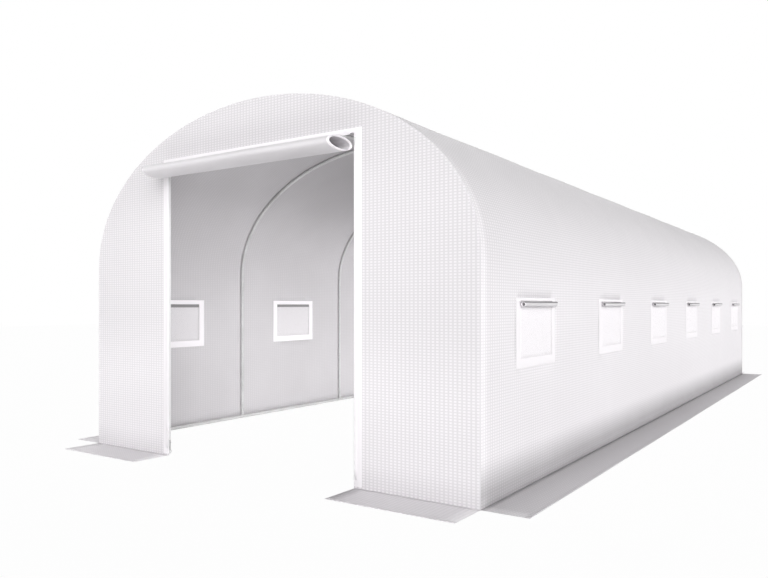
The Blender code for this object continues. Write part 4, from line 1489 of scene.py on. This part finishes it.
class TUNNEL_OT_ground_rails(bpy.types.Operator):
    """The ground rails with their welded sockets and foot plates"""

    bl_idname = "garden_tunnel.ground_rails"
    bl_label = "Ground Rails"

    def execute(self, context):
        self.socket_unit, self.plate_unit = self.socket(), self.plate()
        for side, word in SIDES:
            x = side * (HALF_WIDTH - FRAME_INSET - sizes().tube_radius)
            spots = (RAIL_LOW.y + PLATE_INSET, 0.0, RAIL_HIGH.y - PLATE_INSET)
            plates = [(x, y, -side) for y in spots]
            self.rail(f"ground_rail_{word}", 1, x, [(x, y) for y in HOOP_Y], plates)
            self.rail(f"ground_rail_front_{word}", 0, POST_Y, [(side * POST_X, POST_Y)])
        self.rail("ground_rail_back", 0, -POST_Y, [(-POST_X, -POST_Y), (POST_X, -POST_Y)])
        removed(self.socket_unit, self.plate_unit)
        return {"FINISHED"}

    def socket(self):
        """An upright socket at the origin, open at its top and welded to the rail."""
        radius = sizes().tube_radius
        foot = (0, 0, RAIL_Z + radius * 0.55)
        tube = straight_tube(foot, (0, 0, SOCKET_TOP), radius=radius - 0.0004, wall=0.0018)
        return joined([tube, weld_bead(RAIL_Z + radius * 0.98, radius - 0.0002)])

    def plate(self):
        """A foot plate with rounded corners and its peg hole, before it is turned inwards."""
        size, thickness = 0.060, 0.0020
        middle = size / 2 - sizes().tube_radius
        plate = block((size, size, thickness), (middle, 0, thickness / 2))

        def upright(edge):
            start, end = (vertex.co for vertex in edge.verts)
            return abs(start.z - end.z) > thickness / 2

        with editing(plate, "EDGE"):
            choose(plate, upright, "edges")
            bpy.ops.mesh.bevel(offset=0.008, segments=5)
        drilled(plate, sides=32, radius=0.005, place=(size / 2, 0, 0))
        return dress(softened(plate, width=0.0003), "zinc_coat")

    def plug(self, end, start):
        """A white plug with a rounded edge in the end of a rail."""
        end, outwards = Vector(end), (Vector(end) - Vector(start)).normalized()
        radius, turn = sizes().tube_radius - 0.0009, pointing(outwards).to_euler()
        middle = end - outwards * 0.003
        plug = cylinder(sizes().tube_sides, radius, depth=0.008, place=middle, turn=turn)
        return dress(softened(placed(plug), width=0.0012, segments=3), "nylon_zip")

    def rail(self, node, along, level, sockets, plates=()):
        """A rail along one axis, at this level of the other, with its sockets and plates."""
        ends = []
        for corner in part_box(node):
            end = [level, level, RAIL_Z]
            end[along] = corner[along]
            ends.append(end)
        parts = [straight_tube(*ends), self.plug(*ends), self.plug(*ends[::-1])]
        parts += [copied(self.socket_unit, Matrix.Translation((x, y, 0))) for x, y in sockets]
        for x, y, inwards in plates:
            turn = Matrix.Diagonal((inwards, 1, 1, 1))
            parts.append(copied(self.plate_unit, Matrix.Translation((x, y, 0)) @ turn))
        handed_over(joined(parts), f"{node}_tube", "galvanised_steel", node)


class TUNNEL_OT_end_frames(bpy.types.Operator):
    """The posts and crossbar behind each end panel, with their clamps and bolts"""

    bl_idname = "garden_tunnel.end_frames"
    bl_label = "End Frames"

    def execute(self, context):
        self.end("door", -1, "white_coat", "white_coated_steel")
        self.end("back", 1, "zinc_coat", "galvanised_steel")
        return {"FINISHED"}

    def end(self, word, outwards, finish, slot):
        radius = sizes().tube_radius
        y = -outwards * POST_Y
        level = (CROSSBAR_LOW.z + CROSSBAR_HIGH.z) / 2
        shoulder = SOCKET_TOP + FRAME_GAP
        heights = (FOOT_Z, shoulder, shoulder + SWAGE, POST_HIGH.z)
        radii = (radius - SWAGE, radius - SWAGE, radius, radius)
        for side, hand in SIDES:
            x = side * POST_X
            post = bent_tube([(x, y, z) for z in heights], radii, finish)
            spots = [(x, y - outwards * radius, z) for z in (BOLT_Z, level, POST_HIGH.z - 0.06)]
            bolts = [facing((0, -outwards, 0), spot) for spot in spots]
            bolts = hex_bolts(radius=0.0042, height=0.0028, places=bolts)
            node = f"{word}_post_{hand}"
            made = joined([post, self.clamp((x, y, level), finish), bolts])
            handed_over(made, f"{node}_tube", slot, node)
        reach = CROSSBAR_HIGH.x
        bar = straight_tube((-reach, y, level), (reach, y, level), finish=finish)
        handed_over(bar, f"{word}_crossbar_tube", slot, f"{word}_crossbar")

    def clamp(self, place, finish):
        """The collar that holds the crossbar's end to the post."""
        radius = sizes().tube_radius + 0.0002
        collar = placed(cylinder(32, radius, depth=0.034, place=place, ends="NOTHING"))
        with editing(collar, "EDGE"):
            choose(collar, lambda edge: edge.is_boundary, "edges")
            bpy.ops.mesh.extrude_edges_move()
            bpy.ops.transform.resize(value=(1.05, 1.05, 1.08))
        thickened(collar, thickness=0.0016, offset=1.0)
        return dress(softened(collar, width=0.0004), finish)


class TUNNEL_OT_studio(bpy.types.Operator):
    """A pale floor, a soft key light from the front right and the camera at a walker's eye"""

    bl_idname = "garden_tunnel.studio"
    bl_label = "Studio"

    def execute(self, context):
        self.floor()
        self.surroundings(context)
        self.sun("key", 50, 6, 3.25)
        self.sun("rim", 218, 14, 1.0)
        self.panel("wall_glow", (1.42, 0.3, 0.56), (1.0, 6.8), math.pi / 2, 51, math.radians(95))
        self.panel("door_glow", (0.5, -3.4, 1.0), (0.8, 0.5), math.pi * 0.70, 3.0, 2.1)
        self.panel("ground_glow", (0.2, -6.0, 0.015), (3.0, 1.2), math.pi, 30, math.pi)
        self.camera(context)
        context.scene.view_settings.view_transform = "Standard"
        return {"FINISHED"}

    def floor(self):
        """Seen plainly it is nearly white, with a faint shadow, and it lights as a pale floor."""
        bpy.ops.mesh.primitive_plane_add(size=60, location=(0, 0, -0.0005))
        ground = placed(bpy.context.object)
        ground.name = "studio_floor"
        made = Finish("studio_floor", colours().floor, roughness=0.9)
        made.whitened("Material Output", made.shader.outputs[0], "ShaderNodeEmission", 0.975)
        ground.data.materials.append(made.material)

    def surroundings(self, context):
        """Soft light from all round, and plain white where it is seen."""
        world = bpy.data.worlds.new("studio")
        context.scene.world = world
        world.use_nodes = True
        made = Nodes(world.node_tree)
        soft = made.tree.nodes["Background"]
        soft.inputs["Color"].default_value = (1, 1, 1, 1)
        rise = made.split(made.node("ShaderNodeTexCoord").outputs["Generated"])[2]
        made.feed(soft.inputs["Strength"], 0.90 - rise.ramp(0.0, 1.0) * 0.72)
        made.whitened("World Output", soft.outputs[0], "ShaderNodeBackground")

    def sun(self, name, azimuth, elevation, energy):
        """Wide, low light from one side; azimuth 0 is in front and 90 on the right."""
        lamp = bpy.data.lights.new(name, "SUN")
        lamp.energy, lamp.angle = energy, math.radians(60)
        turn, rise = math.radians(azimuth), math.radians(elevation)
        level = math.cos(rise)
        towards = (level * math.sin(turn), -level * math.cos(turn), math.sin(rise))
        linked(name, lamp).rotation_euler = pointing(towards).to_euler()

    def panel(self, name, place, size, turn, power, spread):
        """A panel of light that only the things it falls on show."""
        lamp = bpy.data.lights.new(name, "AREA")
        lamp.shape = "RECTANGLE"
        lamp.size, lamp.size_y = size
        lamp.energy, lamp.spread = power, spread
        glow = linked(name, lamp)
        glow.location = place
        glow.rotation_euler.y = turn
        glow.visible_camera = glow.visible_glossy = False

    def camera(self, context):
        """A level camera at the photograph's place, with its frame shifted as the photograph's is."""
        lens = bpy.data.cameras.new("eye")
        lens.lens, lens.sensor_width, lens.clip_end = 33.37, 36, 200
        lens.shift_x, lens.shift_y = -0.03255, 0.02095
        eye = linked("eye", lens)
        eye.location = (3.050, -6.9965, 0.968)
        eye.rotation_euler = (math.radians(90), 0, math.radians(33.10))
        context.scene.camera = eye


STEPS = (
    TUNNEL_OT_cover,
    TUNNEL_OT_end_panels,
    TUNNEL_OT_skirts,
    TUNNEL_OT_doorway,
    TUNNEL_OT_zip_sliders,
    TUNNEL_OT_door_flap,
    TUNNEL_OT_windows,
    TUNNEL_OT_window_flaps,
    TUNNEL_OT_hoops,
    TUNNEL_OT_ridge,
    TUNNEL_OT_ground_rails,
    TUNNEL_OT_end_frames,
    TUNNEL_OT_studio,
)


class TUNNEL_PT_panel(bpy.types.Panel):
    """The tunnel's steps, sizes and colours"""

    bl_idname = "TUNNEL_PT_panel"
    bl_label = "Garden Tunnel"
    bl_space_type = "VIEW_3D"
    bl_region_type = "UI"
    bl_category = "Tunnel"

    def draw(self, context):
        for step in STEPS:
            self.layout.operator(step.bl_idname)
        for group in (context.scene.tunnel_sizes, context.scene.tunnel_colours):
            box = self.layout.box()
            for word in group.__annotations__:
                box.prop(group, word)


CLASSES = (TunnelSizes, TunnelColours, *STEPS, TUNNEL_PT_panel)


def register():
    for item in CLASSES:
        bpy.utils.register_class(item)
    bpy.types.Scene.tunnel_sizes = PointerProperty(type=TunnelSizes)
    bpy.types.Scene.tunnel_colours = PointerProperty(type=TunnelColours)


def unregister():
    del bpy.types.Scene.tunnel_sizes
    del bpy.types.Scene.tunnel_colours
    for item in reversed(CLASSES):
        bpy.utils.unregister_class(item)


def main():
    register()
    for step in STEPS:
        group, word = step.bl_idname.split(".")
        getattr(getattr(bpy.ops, group), word)()


if __name__ == "__main__":
    main()
